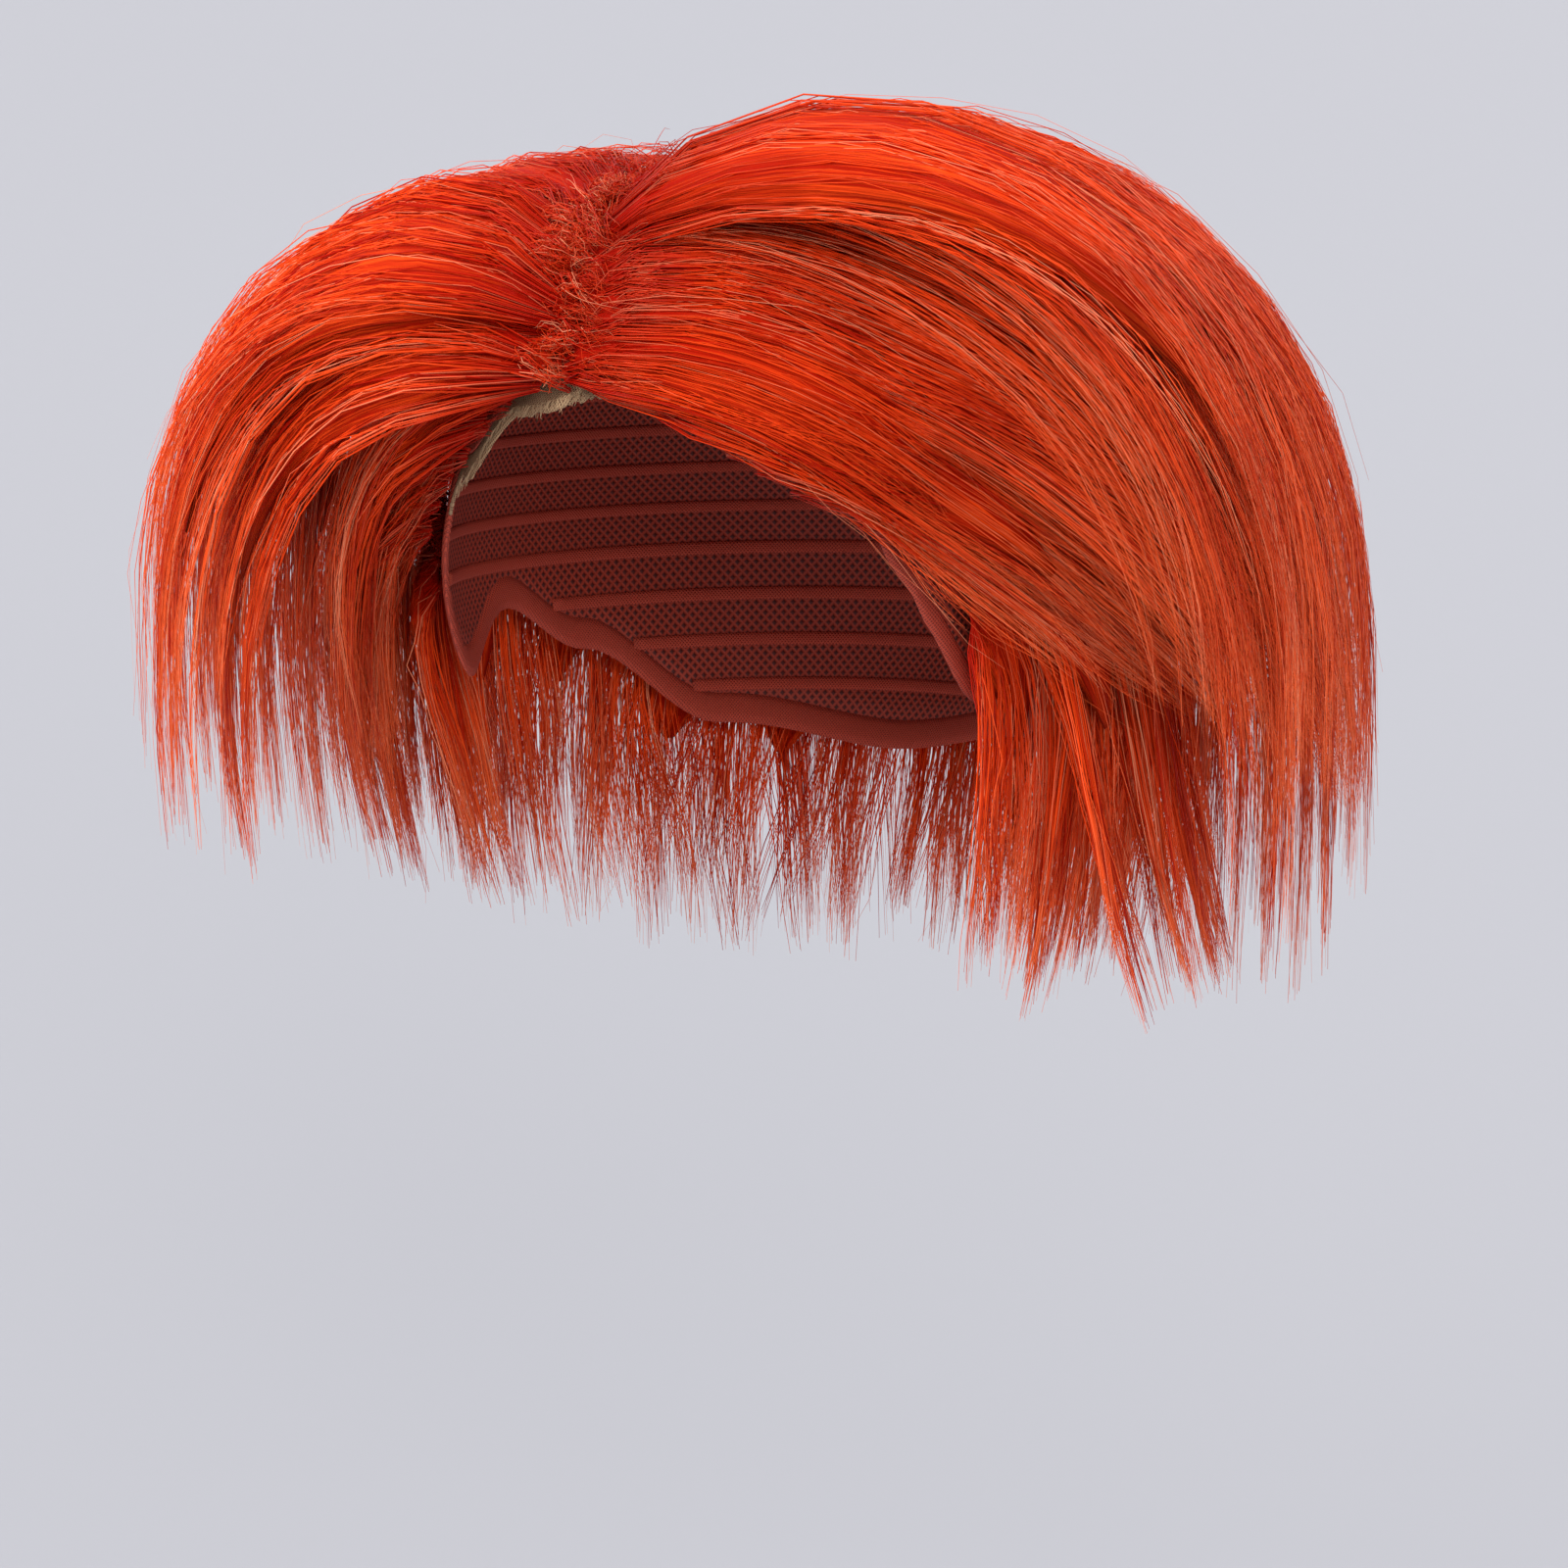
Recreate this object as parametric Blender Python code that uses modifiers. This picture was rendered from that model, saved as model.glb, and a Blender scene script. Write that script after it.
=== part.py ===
"""Short bob wig as worn: a net cap with a lace front edge, and parted hair in layered locks.

Metres. The wearer faces -Y, +X is the wearer's left and +Z is up.
The origin is the inside of the cap at the crown.
"""

from collections import namedtuple
from math import cos, hypot, pi, radians, sin, sqrt
import random

import bmesh
import bpy
from mathutils import Vector

# Head that the cap fits
HEAD_HALF_WIDTH = 0.076
HEAD_HALF_DEPTH = 0.095
HEAD_UPPER = 0.095
HEAD_LOWER = 0.110
NECK_TILT = 135

# Cap and lace
CAP_WALL = 0.0018
LACE_WALL = 0.0010
LACE_BAND = 7
LACE_GAP = 0.0006
GAP = 0.0004

# Hair
HAIR_REACH = 0.162
HAIR_DROP = 0.213
HAIR_RISE = 0.060
LOCK_WIDTH = 0.034
LOCK_THICK = 0.014
BACKING_THICK = 0.007
BACKING_LIFT = CAP_WALL + GAP
PARTING_HALF_WIDTH = 0.005
CARVE_GAP = 0.0009
CORE_SAG = 0.0010

# Counts
CAP_COLUMNS = 36
CAP_ROWS = 7
LOCK_RINGS = 6
PATCH_STEP = 13
RIM_INSET = 3
PARTING_COLUMNS = 2
PARTING_ROWS = 6
LACE_ROWS = 2
SEED = 11

# Core that the hair is cut by: first tilt and step of its rings, turned so that no corner
# lies on a corner of a backing
CORE_TILT = 3
CORE_STEP = 12
CORE_TURN = 0.3

# Least length of a cross product that still tells a lock's width from its run
CLEAR_CROSS = 0.35

# Share of the triangles that is kept where locks meet
KEPT_SHARE = 0.66

# Rim of the cap and lace: tilt from the crown, in degrees, by azimuth from the front
Rim = namedtuple("Rim", "azimuth tilt")
RIM = (
    Rim(0, 61),
    Rim(25, 65),
    Rim(42, 78),
    Rim(55, 92),
    Rim(74, 106),
    Rim(92, 98),
    Rim(112, 105),
    Rim(140, 117),
    Rim(180, 121),
)
LACE_AZIMUTH = 56

# Parting line, from the hairline to the crown
Parting = namedtuple("Parting", "tilt azimuth")
PARTING = (
    Parting(62, -12),
    Parting(48, -18),
    Parting(36, -29),
    Parting(27, -46),
    Parting(18, -74),
)

# Backings that the locks are fused to. An edge named part follows the parting line,
# and an edge named rim follows the rim.
Backing = namedtuple("Backing", "piece side_from side_to tilt_from tilt_to")
BACKINGS = (
    Backing("right_curtain", -102, "part", 20, 78),
    Backing("left_sweep", "part", 92, 33, 78),
    Backing("crown_hair", -100, 254, 2, 18),
    Backing("crown_hair", "part", 254, 17, 32),
    Backing("back_hair", 94, 256, 34, 78),
    Backing("left_side_hair", 62, 126, 80, 104),
    Backing("nape_hair", 128, 232, 80, 118),
    Backing("right_side_hair", 234, 298, 80, 104),
)

# Wefts, each a row of locks. Roots are azimuth and tilt in degrees, tips are azimuth in degrees,
# reach as a share of HAIR_REACH and drop as a share of HAIR_DROP. Rise is a share of HAIR_RISE,
# throw of the way to the tip, fall of the height down to it, and flare of the tip's reach.
Weft = namedtuple(
    "Weft",
    "piece count root_from root_to tip_from tip_to rise throw fall flare width thick",
)
WEFTS = (
    Weft("right_curtain", 6, (-19, 50), (-62, 25), (-58, 0.94, 0.78), (-120, 0.95, 0.82),
         (0.70, 0.36), 0.28, 0.96, 1.09, 1.20, 1.00),
    Weft("right_curtain", 5, (-17, 58), (-40, 40), (-58, 0.82, 0.80), (-114, 0.86, 0.88),
         (0.52, 0.60), 0.25, 0.92, 1.12, 1.15, 1.10),
    Weft("right_curtain", 4, (-20, 59), (-52, 78), (-64, 0.62, 0.78), (-92, 0.64, 0.92),
         (0.42, 0.36), 0.20, 0.75, 1.20, 1.05, 0.85),
    Weft("left_sweep", 4, (-4, 57), (40, 72), (64, 0.60, 0.51), (98, 0.80, 0.66),
         (0.12, 0.12), 0.30, 0.35, 0.90, 0.95, 0.75),
    Weft("left_sweep", 4, (-10, 57), (-14, 48), (76, 0.76, 0.58), (100, 0.92, 0.70),
         (0.28, 0.56), 0.30, 0.48, 0.95, 1.05, 1.00),
    Weft("left_sweep", 4, (-16, 48), (-22, 38), (84, 0.90, 0.66), (108, 0.97, 0.78),
         (0.36, 0.50), 0.32, 0.72, 1.00, 1.15, 0.95),
    Weft("crown_hair", 6, (-26, 35), (-66, 17), (80, 0.97, 0.72), (158, 0.93, 0.92),
         (0.96, 0.20), 0.42, 1.22, 1.08, 1.35, 1.10),
    Weft("crown_hair", 4, (40, 28), (130, 26), (92, 0.88, 0.92), (140, 0.86, 1.00),
         (0.60, 0.50), 0.30, 1.00, 1.06, 1.20, 1.00),
    Weft("crown_hair", 5, (-92, 12), (-170, 14), (-118, 0.92, 0.84), (-182, 0.86, 0.90),
         (0.00, 0.15), 0.30, 0.92, 1.05, 1.35, 0.70),
    Weft("back_hair", 6, (112, 42), (246, 42), (122, 0.80, 0.97), (242, 0.82, 0.90),
         (0.45, 0.45), 0.30, 0.85, 1.08, 1.20, 1.00),
    Weft("back_hair", 5, (118, 66), (240, 66), (130, 0.70, 1.00), (236, 0.72, 0.95),
         (0.35, 0.35), 0.30, 0.75, 1.08, 1.15, 0.90),
    Weft("left_side_hair", 4, (68, 92), (122, 94), (84, 0.44, 0.99), (122, 0.56, 1.00),
         (0.22, 0.22), 0.30, 0.60, 1.15, 0.90, 0.70),
    Weft("left_side_hair", 3, (80, 88), (118, 88), (90, 0.70, 0.98), (116, 0.76, 1.02),
         (0.20, 0.20), 0.20, 0.60, 0.84, 1.15, 0.75),
    Weft("nape_hair", 5, (137, 105), (223, 105), (137, 0.48, 1.01), (223, 0.48, 0.98),
         (0.20, 0.20), 0.30, 0.60, 1.10, 1.10, 0.78),
    Weft("nape_hair", 4, (142, 86), (218, 86), (142, 0.61, 1.00), (218, 0.61, 0.97),
         (0.30, 0.30), 0.30, 0.70, 1.10, 1.20, 0.80),
    Weft("right_side_hair", 3, (240, 92), (288, 92), (240, 0.54, 0.94), (276, 0.48, 0.88),
         (0.22, 0.22), 0.30, 0.60, 1.15, 1.00, 0.70),
    Weft("right_side_hair", 3, (244, 84), (284, 84), (244, 0.66, 0.90), (272, 0.62, 0.88),
         (0.35, 0.35), 0.30, 0.70, 1.10, 1.05, 0.80),
    Weft("parting_hair", 6, (-13, 59), (-58, 24), (-24, 0.46, 0.16), (-48, 0.28, 0.00),
         (0.12, 0.08), 0.15, 0.60, 1.00, 0.24, 0.38),
)

# How far the locks of a weft vary: least share of reach and of drop, and degrees of turn
REACH_VARY = 0.97
DROP_VARY = 0.90
TURN_VARY = 3
WIDTH_VARY = 0.1

# A lock's width and thickness from root to tip
Taper = namedtuple("Taper", "along width thick")
TAPER = (
    Taper(0.0, 0.60, 0.60),
    Taper(0.3, 0.92, 1.00),
    Taper(0.7, 1.00, 0.90),
    Taper(1.0, 0.30, 0.22),
)

# The piece that comes first keeps its form where two meet
ORDER = (
    "parting_hair",
    "left_sweep",
    "right_curtain",
    "crown_hair",
    "back_hair",
    "left_side_hair",
    "right_side_hair",
    "nape_hair",
)

COLOURS = {
    "net": (0.42, 0.10, 0.05, 1),
    "lace": (0.62, 0.43, 0.24, 1),
    "hair": (0.72, 0.07, 0.015, 1),
    "rooted_hair": (0.45, 0.035, 0.01, 1),
}


def between(low, high, share):
    """The value, or each of the values, at a share of the way from low to high."""
    if isinstance(low, tuple):
        return tuple(between(a, b, share) for a, b in zip(low, high))
    return low + (high - low) * share


def look_up(rows, at):
    """The columns after the first, at a value of the first, with an eased step between rows."""
    for before, after in zip(rows, rows[1:]):
        if (at - before[0]) * (at - after[0]) <= 0:
            share = (at - before[0]) / (after[0] - before[0])
            share = share * share * (3 - 2 * share)
            return between(tuple(before[1:]), tuple(after[1:]), share)
    nearest = min(rows, key=lambda row: abs(row[0] - at))
    return tuple(nearest[1:])


def rim_tilt(azimuth):
    """Tilt of the rim, which is alike on both sides of the head."""
    folded = abs((azimuth + 180) % 360 - 180)
    return look_up(RIM, folded)[0]


def head_sizes(out):
    """Half width, half depth and both half heights of the head, grown by out."""
    return (
        HEAD_HALF_WIDTH + out,
        HEAD_HALF_DEPTH + out,
        HEAD_UPPER + out,
        HEAD_LOWER + out,
    )


def head_point(azimuth, tilt, out):
    """A point over the head at an azimuth from the front and a tilt from the crown, in degrees."""
    wide, deep, upper, lower = head_sizes(out)
    a = radians(azimuth)
    t = radians(tilt)
    tall = upper if tilt < 90 else lower
    return Vector((wide * sin(t) * sin(a), -deep * sin(t) * cos(a), tall * cos(t) - HEAD_UPPER))


def head_normal(point):
    """Outward direction of the head under a point."""
    wide, deep, upper, lower = head_sizes(0)
    above = point.z + HEAD_UPPER
    tall = upper if above > 0 else lower
    return Vector((point.x / wide**2, point.y / deep**2, above / tall**2)).normalized()


def kept_out(point, out):
    """The point, moved out of the head and neck if it lies within out of them."""
    wide, deep, upper, lower = head_sizes(out)
    above = point.z + HEAD_UPPER
    if above > 0:
        size = sqrt((point.x / wide) ** 2 + (point.y / deep) ** 2 + (above / upper) ** 2)
        if size >= 1:
            return point
        return Vector((point.x / size, point.y / size, above / size - HEAD_UPPER))
    lowest = cos(radians(NECK_TILT))
    down = max(above / lower, lowest)
    narrow = sqrt(1 - down * down)
    size = hypot(point.x / (wide * narrow), point.y / (deep * narrow))
    if size >= 1 or size == 0:
        return point
    return Vector((point.x / size, point.y / size, point.z))


def new_object(name, vertices, faces):
    """An object with a mesh of these vertices and faces, faces outwards."""
    mesh = bpy.data.meshes.new(name)
    mesh.from_pydata([tuple(v) for v in vertices], [], faces)
    work = bmesh.new()
    work.from_mesh(mesh)
    bmesh.ops.recalc_face_normals(work, faces=work.faces)
    bmesh.ops.triangulate(work, faces=work.faces)
    work.to_mesh(mesh)
    work.free()
    made = bpy.data.objects.new(name, mesh)
    bpy.context.scene.collection.objects.link(made)
    return made


def loft(name, rings):
    """A solid through closed rings of alike count, closed at both ends."""
    count = len(rings[0])
    vertices = [point for ring in rings for point in ring]
    faces = [tuple(range(count)), tuple(range(len(vertices) - count, len(vertices)))]
    for low in range(0, len(vertices) - count, count):
        for i in range(count):
            j = (i + 1) % count
            faces.append((low + i, low + j, low + count + j, low + count + i))
    return new_object(name, vertices, faces)


def bezier(controls, share):
    """A point of a cubic curve."""
    back = 1 - share
    first, second, third, last = controls
    return (
        first * back**3
        + second * (3 * back * back * share)
        + third * (3 * back * share * share)
        + last * share**3
    )


def lock_path(weft, share, vary):
    """Points of one lock from root to tip, at a share of the way along its weft."""
    azimuth, tilt = between(weft.root_from, weft.root_to, share)
    side, reach, drop = between(weft.tip_from, weft.tip_to, share)
    reach *= HAIR_REACH * vary.uniform(REACH_VARY, 1)
    height = -drop * HAIR_DROP * vary.uniform(DROP_VARY, 1)
    turn = radians(side + vary.uniform(-TURN_VARY, TURN_VARY))
    root = head_point(azimuth, tilt, BACKING_LIFT + BACKING_THICK / 2)
    tip = Vector((reach * sin(turn), -reach * cos(turn), height))
    level = Vector((tip.x - root.x, tip.y - root.y, 0))
    rise = between(*weft.rise, share) * HAIR_RISE
    lifted = root + head_normal(root) * rise + level * weft.throw
    over = Vector((tip.x * weft.flare, tip.y * weft.flare, between(height, root.z, weft.fall)))
    controls = (root, lifted, over, tip)
    clear = BACKING_LIFT + BACKING_THICK
    points = []
    for i in range(LOCK_RINGS):
        point = bezier(controls, i / (LOCK_RINGS - 1))
        points.append(point if i == 0 else kept_out(point, clear))
    return points


def lock(name, points, width, thick, grow):
    """A flattened, pointed lock along its points, with its section grown by a margin."""
    last = len(points) - 1
    sides = []
    for i, point in enumerate(points):
        along = points[min(i + 1, last)] - points[max(i - 1, 0)]
        centre = Vector((0, 0, min(point.z, -HEAD_UPPER)))
        sides.append((along.normalized(), (point - centre).normalized()))
    middle = last // 2
    across = first = sides[middle][0].cross(sides[middle][1]).normalized()
    rings = [None] * len(points)
    for i in (*range(middle, last + 1), *range(middle - 1, -1, -1)):
        if i == middle - 1:
            across = first
        along, outward = sides[i]
        found = along.cross(outward)
        if found.length > CLEAR_CROSS:
            across = found.normalized()
        over = across.cross(along).normalized()
        wide, deep = look_up(TAPER, i / last)
        half_wide = wide * width / 2 + grow
        half_deep = deep * thick / 2 + grow
        point = points[i]
        if grow and i in (0, last):
            point = point + along * (grow if i else -grow)
        rings[i] = [
            point + across * half_wide,
            point + across * (half_wide / 2) + over * half_deep,
            point - across * (half_wide / 2) + over * half_deep,
            point - across * half_wide,
            point - over * half_deep,
        ]
    return loft(name, rings)


def turned(distance, tilt):
    """Degrees of azimuth that cover a distance at a tilt."""
    around = sin(radians(tilt)) * (HEAD_HALF_WIDTH + HEAD_HALF_DEPTH) / 2
    return distance / around * 180 / pi


def edge_azimuth(edge, tilt, away):
    """Azimuth of an edge moved away by a distance, from the parting line if it follows that."""
    azimuth = look_up(PARTING, tilt)[0] if edge == "part" else edge
    return azimuth + turned(away, tilt)


def shell_patch(name, edges, tilts, columns, rows, low, high):
    """A piece of shell over the head, between two offsets from it.

    Its sides are azimuths at a tilt, and its upper and lower edge are tilts at an azimuth.
    """
    middle = sum(tilts(0)) / 2
    vertices = []
    for out in (low, high):
        for c in range(columns + 1):
            first, last = tilts(between(*edges(middle), c / columns))
            for r in range(rows + 1):
                tilt = between(first, last, r / rows)
                vertices.append(head_point(between(*edges(tilt), c / columns), tilt, out))
    size = (columns + 1) * (rows + 1)
    faces = []

    def at(layer, c, r):
        return layer * size + c * (rows + 1) + r

    for c in range(columns):
        for r in range(rows):
            for layer in (0, 1):
                corners = ((c, r), (c + 1, r), (c + 1, r + 1), (c, r + 1))
                faces.append(tuple(at(layer, *corner) for corner in corners))
    for c in range(columns):
        for r in (0, rows):
            faces.append((at(0, c, r), at(0, c + 1, r), at(1, c + 1, r), at(1, c, r)))
    for r in range(rows):
        for c in (0, columns):
            faces.append((at(0, c, r), at(0, c, r + 1), at(1, c, r + 1), at(1, c, r)))
    return new_object(name, vertices, faces)


def backing(row, grow):
    """One backing, grown by a margin."""
    angle = turned(grow, 90)
    inset = GAP / 2 - grow
    beside = PARTING_HALF_WIDTH + CARVE_GAP - grow

    def edges(tilt):
        return (
            edge_azimuth(row.side_from, tilt, beside if row.side_from == "part" else inset),
            edge_azimuth(row.side_to, tilt, -beside if row.side_to == "part" else -inset),
        )

    def tilts(azimuth):
        lowest = min(row.tilt_to, rim_tilt(azimuth) - RIM_INSET)
        return row.tilt_from - angle, lowest + angle

    start, stop = edges((row.tilt_from + row.tilt_to) / 2)
    columns = max(3, round(abs(stop - start) / PATCH_STEP))
    rows = max(2, round((row.tilt_to - row.tilt_from) / PATCH_STEP))
    high = BACKING_LIFT + BACKING_THICK + grow
    return shell_patch(row.piece, edges, tilts, columns, rows, BACKING_LIFT - grow, high)


def parting_strip(grow):
    """The low strip under the rooted hair of the parting, grown by a margin."""
    angle = turned(grow, 90)
    beside = PARTING_HALF_WIDTH + grow

    def edges(tilt):
        return edge_azimuth("part", tilt, -beside), edge_azimuth("part", tilt, beside)

    def tilts(azimuth):
        return PARTING[-1].tilt + RIM_INSET - angle, RIM[0].tilt - RIM_INSET + angle

    high = BACKING_LIFT + BACKING_THICK / 2 + grow
    low = BACKING_LIFT - grow
    return shell_patch("parting_hair", edges, tilts, PARTING_COLUMNS, PARTING_ROWS, low, high)


def piece_solids(piece, grow):
    """Every solid that a piece of hair is fused from, grown by a margin."""
    vary = random.Random(SEED + ORDER.index(piece))
    if piece == "parting_hair":
        solids = [parting_strip(grow)]
    else:
        solids = [backing(row, grow) for row in BACKINGS if row.piece == piece]
    for weft in WEFTS:
        if weft.piece != piece:
            continue
        for i in range(weft.count):
            share = i / (weft.count - 1)
            points = lock_path(weft, share, vary)
            width = weft.width * LOCK_WIDTH * vary.uniform(1 - WIDTH_VARY, 1 + WIDTH_VARY)
            solids.append(lock(piece, points, width, weft.thick * LOCK_THICK, grow))
    return solids


def core():
    """The space of the cap, head and neck, which no hair enters."""
    rings = []
    tilts = (CORE_TILT, *range(CORE_STEP, NECK_TILT, CORE_STEP), NECK_TILT)
    points = [(tilt, 0) for tilt in tilts] + [(NECK_TILT, HEAD_HALF_DEPTH)]
    for tilt, lower in points:
        ring = []
        for i in range(CAP_COLUMNS):
            azimuth = (i + CORE_TURN) * 360 / CAP_COLUMNS
            point = head_point(azimuth, tilt, BACKING_LIFT + CORE_SAG)
            ring.append(point - Vector((0, 0, lower)))
        rings.append(ring)
    return loft("core", rings)


def gathered(name, solids):
    """A collection that holds these solids and nothing else."""
    group = bpy.data.collections.new(name)
    bpy.context.scene.collection.children.link(group)
    for solid in solids:
        group.objects.link(solid)
    return group


def combine(base, operation, solids):
    """Adds a union or difference with these solids to the base, and gives their collection."""
    step = base.modifiers.new(operation.lower(), "BOOLEAN")
    step.operation = operation
    step.solver = "EXACT"
    step.operand_type = "COLLECTION"
    step.collection = gathered(operation.lower(), solids)
    return step.collection


def largest_body(mesh):
    """Keeps the largest connected body of a mesh, and leaves out loose ends that cuts set free."""
    work = bmesh.new()
    work.from_mesh(mesh)
    bmesh.ops.triangulate(work, faces=work.faces)
    left = set(work.verts)
    bodies = []
    while left:
        start = left.pop()
        body = {start}
        edge = [start]
        while edge:
            vertex = edge.pop()
            for link in vertex.link_edges:
                other = link.other_vert(vertex)
                if other in left:
                    left.discard(other)
                    body.add(other)
                    edge.append(other)
        bodies.append(body)
    bodies.sort(key=len, reverse=True)
    for body in bodies[1:]:
        bmesh.ops.delete(work, geom=list(body), context="VERTS")
    bmesh.ops.recalc_face_normals(work, faces=work.faces)
    work.to_mesh(mesh)
    work.free()


def applied(made):
    """Turns an object's modifiers into its mesh."""
    view = bpy.context.evaluated_depsgraph_get()
    mesh = bpy.data.meshes.new_from_object(made.evaluated_get(view), depsgraph=view)
    made.modifiers.clear()
    made.data = mesh
    return mesh


def clear_objects(objects):
    """Removes objects that were only used to shape others."""
    for used in objects:
        bpy.data.objects.remove(used)


def hair_piece(piece):
    """One piece of hair: its locks fused to its backing, clear of the head and of other pieces."""
    solids = piece_solids(piece, 0)
    base = solids[0]
    base.name = piece
    cutters = [core()]
    for other in ORDER[: ORDER.index(piece)]:
        cutters += piece_solids(other, CARVE_GAP)
    groups = [combine(base, "UNION", solids[1:]), combine(base, "DIFFERENCE", cutters)]
    largest_body(applied(base))
    thinned = base.modifiers.new("thinned", "DECIMATE")
    thinned.ratio = KEPT_SHARE
    applied(base)
    clear_objects(solids[1:] + cutters)
    for group in groups:
        bpy.data.collections.remove(group)
    return base


def dome(name, rims, rows, low):
    """An open dome over the head, down to each column's rim tilt."""
    vertices = [head_point(0, 0, low)]
    columns = len(rims)
    for azimuth, rim in rims:
        for r in range(1, rows + 1):
            vertices.append(head_point(azimuth, rim * r / rows, low))
    faces = []
    for c in range(columns):
        here = 1 + c * rows
        following = 1 + (c + 1) % columns * rows
        faces.append((0, here, following))
        for r in range(rows - 1):
            faces.append((here + r, here + r + 1, following + r + 1, following + r))
    return new_object(name, vertices, faces)


def thickened(made, wall):
    """Gives an open surface a wall that lies outside it."""
    step = made.modifiers.new("wall", "SOLIDIFY")
    step.thickness = wall
    step.offset = 1
    applied(made)
    return made


def cap():
    """The net cap, cut back at the front where the lace goes on."""
    rims = []
    for i in range(CAP_COLUMNS):
        azimuth = i * 360 / CAP_COLUMNS - 180
        band = LACE_BAND if abs(azimuth) < LACE_AZIMUTH else 0
        rims.append((azimuth, rim_tilt(azimuth) - band))
    made = dome("cap", rims, CAP_ROWS, 0)
    return thickened(made, CAP_WALL)


def lace_front():
    """The thin lace that carries on from the cap's front edge to the hairline."""
    step = 360 / CAP_COLUMNS
    side = int(LACE_AZIMUTH / step) * step
    low = (CAP_WALL - LACE_WALL) / 2
    gap = turned(LACE_GAP, 90)

    def edges(tilt):
        return -side, side

    def tilts(azimuth):
        rim = rim_tilt(azimuth)
        return rim - LACE_BAND + gap, rim

    columns = round(2 * side / step)
    return shell_patch("lace_front", edges, tilts, columns, LACE_ROWS, low, low + LACE_WALL)


def material(name):
    """A plain Principled material in one of the named colours."""
    made = bpy.data.materials.new(name)
    made.use_nodes = True
    shader = made.node_tree.nodes["Principled BSDF"]
    shader.inputs["Base Color"].default_value = COLOURS[name]
    shader.inputs["Roughness"].default_value = 0.5
    made.diffuse_color = COLOURS[name]
    return made


def main():
    """Builds every piece into the wig's own collection."""
    for old in list(bpy.data.objects):
        bpy.data.objects.remove(old)
    wig = bpy.data.collections.new("short_bob_wig")
    bpy.context.scene.collection.children.link(wig)
    finishes = {name: material(name) for name in COLOURS}
    pieces = [(cap(), "net"), (lace_front(), "lace")]
    for piece in ORDER:
        finish = "rooted_hair" if piece == "parting_hair" else "hair"
        pieces.append((hair_piece(piece), finish))
    for made, finish in pieces:
        made.data.materials.clear()
        made.data.materials.append(finishes[finish])
        made.data.name = made.name
        for face in made.data.polygons:
            face.use_smooth = True
            face.material_index = 0
        for holder in list(made.users_collection):
            holder.objects.unlink(made)
        wig.objects.link(made)


main()
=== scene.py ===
import logging
import random
from dataclasses import dataclass, fields
from enum import Enum
from math import cos, hypot, pi, radians, sin, sqrt
from typing import Callable, Iterable, Mapping, Optional, Sequence, Union

import bpy
from mathutils import Matrix, Vector


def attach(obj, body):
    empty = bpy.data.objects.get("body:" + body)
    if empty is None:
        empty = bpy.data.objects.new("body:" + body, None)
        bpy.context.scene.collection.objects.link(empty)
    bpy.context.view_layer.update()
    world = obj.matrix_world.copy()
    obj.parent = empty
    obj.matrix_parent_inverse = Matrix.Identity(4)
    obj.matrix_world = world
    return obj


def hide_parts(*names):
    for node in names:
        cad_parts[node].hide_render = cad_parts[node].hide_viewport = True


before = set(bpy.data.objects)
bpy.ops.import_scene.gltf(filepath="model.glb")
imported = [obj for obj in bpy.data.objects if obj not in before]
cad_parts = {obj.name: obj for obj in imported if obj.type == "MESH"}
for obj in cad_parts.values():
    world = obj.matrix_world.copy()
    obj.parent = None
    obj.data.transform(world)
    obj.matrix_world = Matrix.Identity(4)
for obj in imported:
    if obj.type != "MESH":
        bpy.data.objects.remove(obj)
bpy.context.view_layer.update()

"""Looks of the short bob wig: fibres over locks, a net cap, a lace front and a plain studio.

Metres. The wearer faces -Y, +X is the wearer's left and +Z is up. The origin is the inside
of the cap at the crown.
"""

LOG = logging.getLogger("short_bob_wig")
SEED = 11

Colour = tuple[float, float, float, float]
Pair = tuple[float, float]
Triple = tuple[float, float, float]
Amount = Union[float, tuple]


def between(low: Amount, high: Amount, share: float) -> Amount:
    """Blends two numbers or two tuples of numbers.

    Args:
        low: Value at share 0.
        high: Value at share 1.
        share: How far from low to high.

    Returns:
        The blended number or tuple.
    """
    if isinstance(low, tuple):
        return tuple(between(a, b, share) for a, b in zip(low, high))
    return low + (high - low) * share


def look_up(rows: Sequence[tuple], at: float) -> tuple:
    """Reads a table at a value of its first column, with an eased step between rows.

    Args:
        rows: Rows of numbers, in order of their first column.
        at: The value to read at.

    Returns:
        The other columns at that value.
    """
    for before, after in zip(rows, rows[1:]):
        if (at - before[0]) * (at - after[0]) <= 0:
            share = (at - before[0]) / (after[0] - before[0])
            share = share * share * (3 - 2 * share)
            return between(tuple(before[1:]), tuple(after[1:]), share)
    nearest = min(rows, key=lambda row: abs(row[0] - at))
    return tuple(nearest[1:])


def folded(azimuth: float) -> float:
    """Gives how far round from the front an azimuth is, alike on both sides."""
    return abs((azimuth + 180) % 360 - 180)


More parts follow.
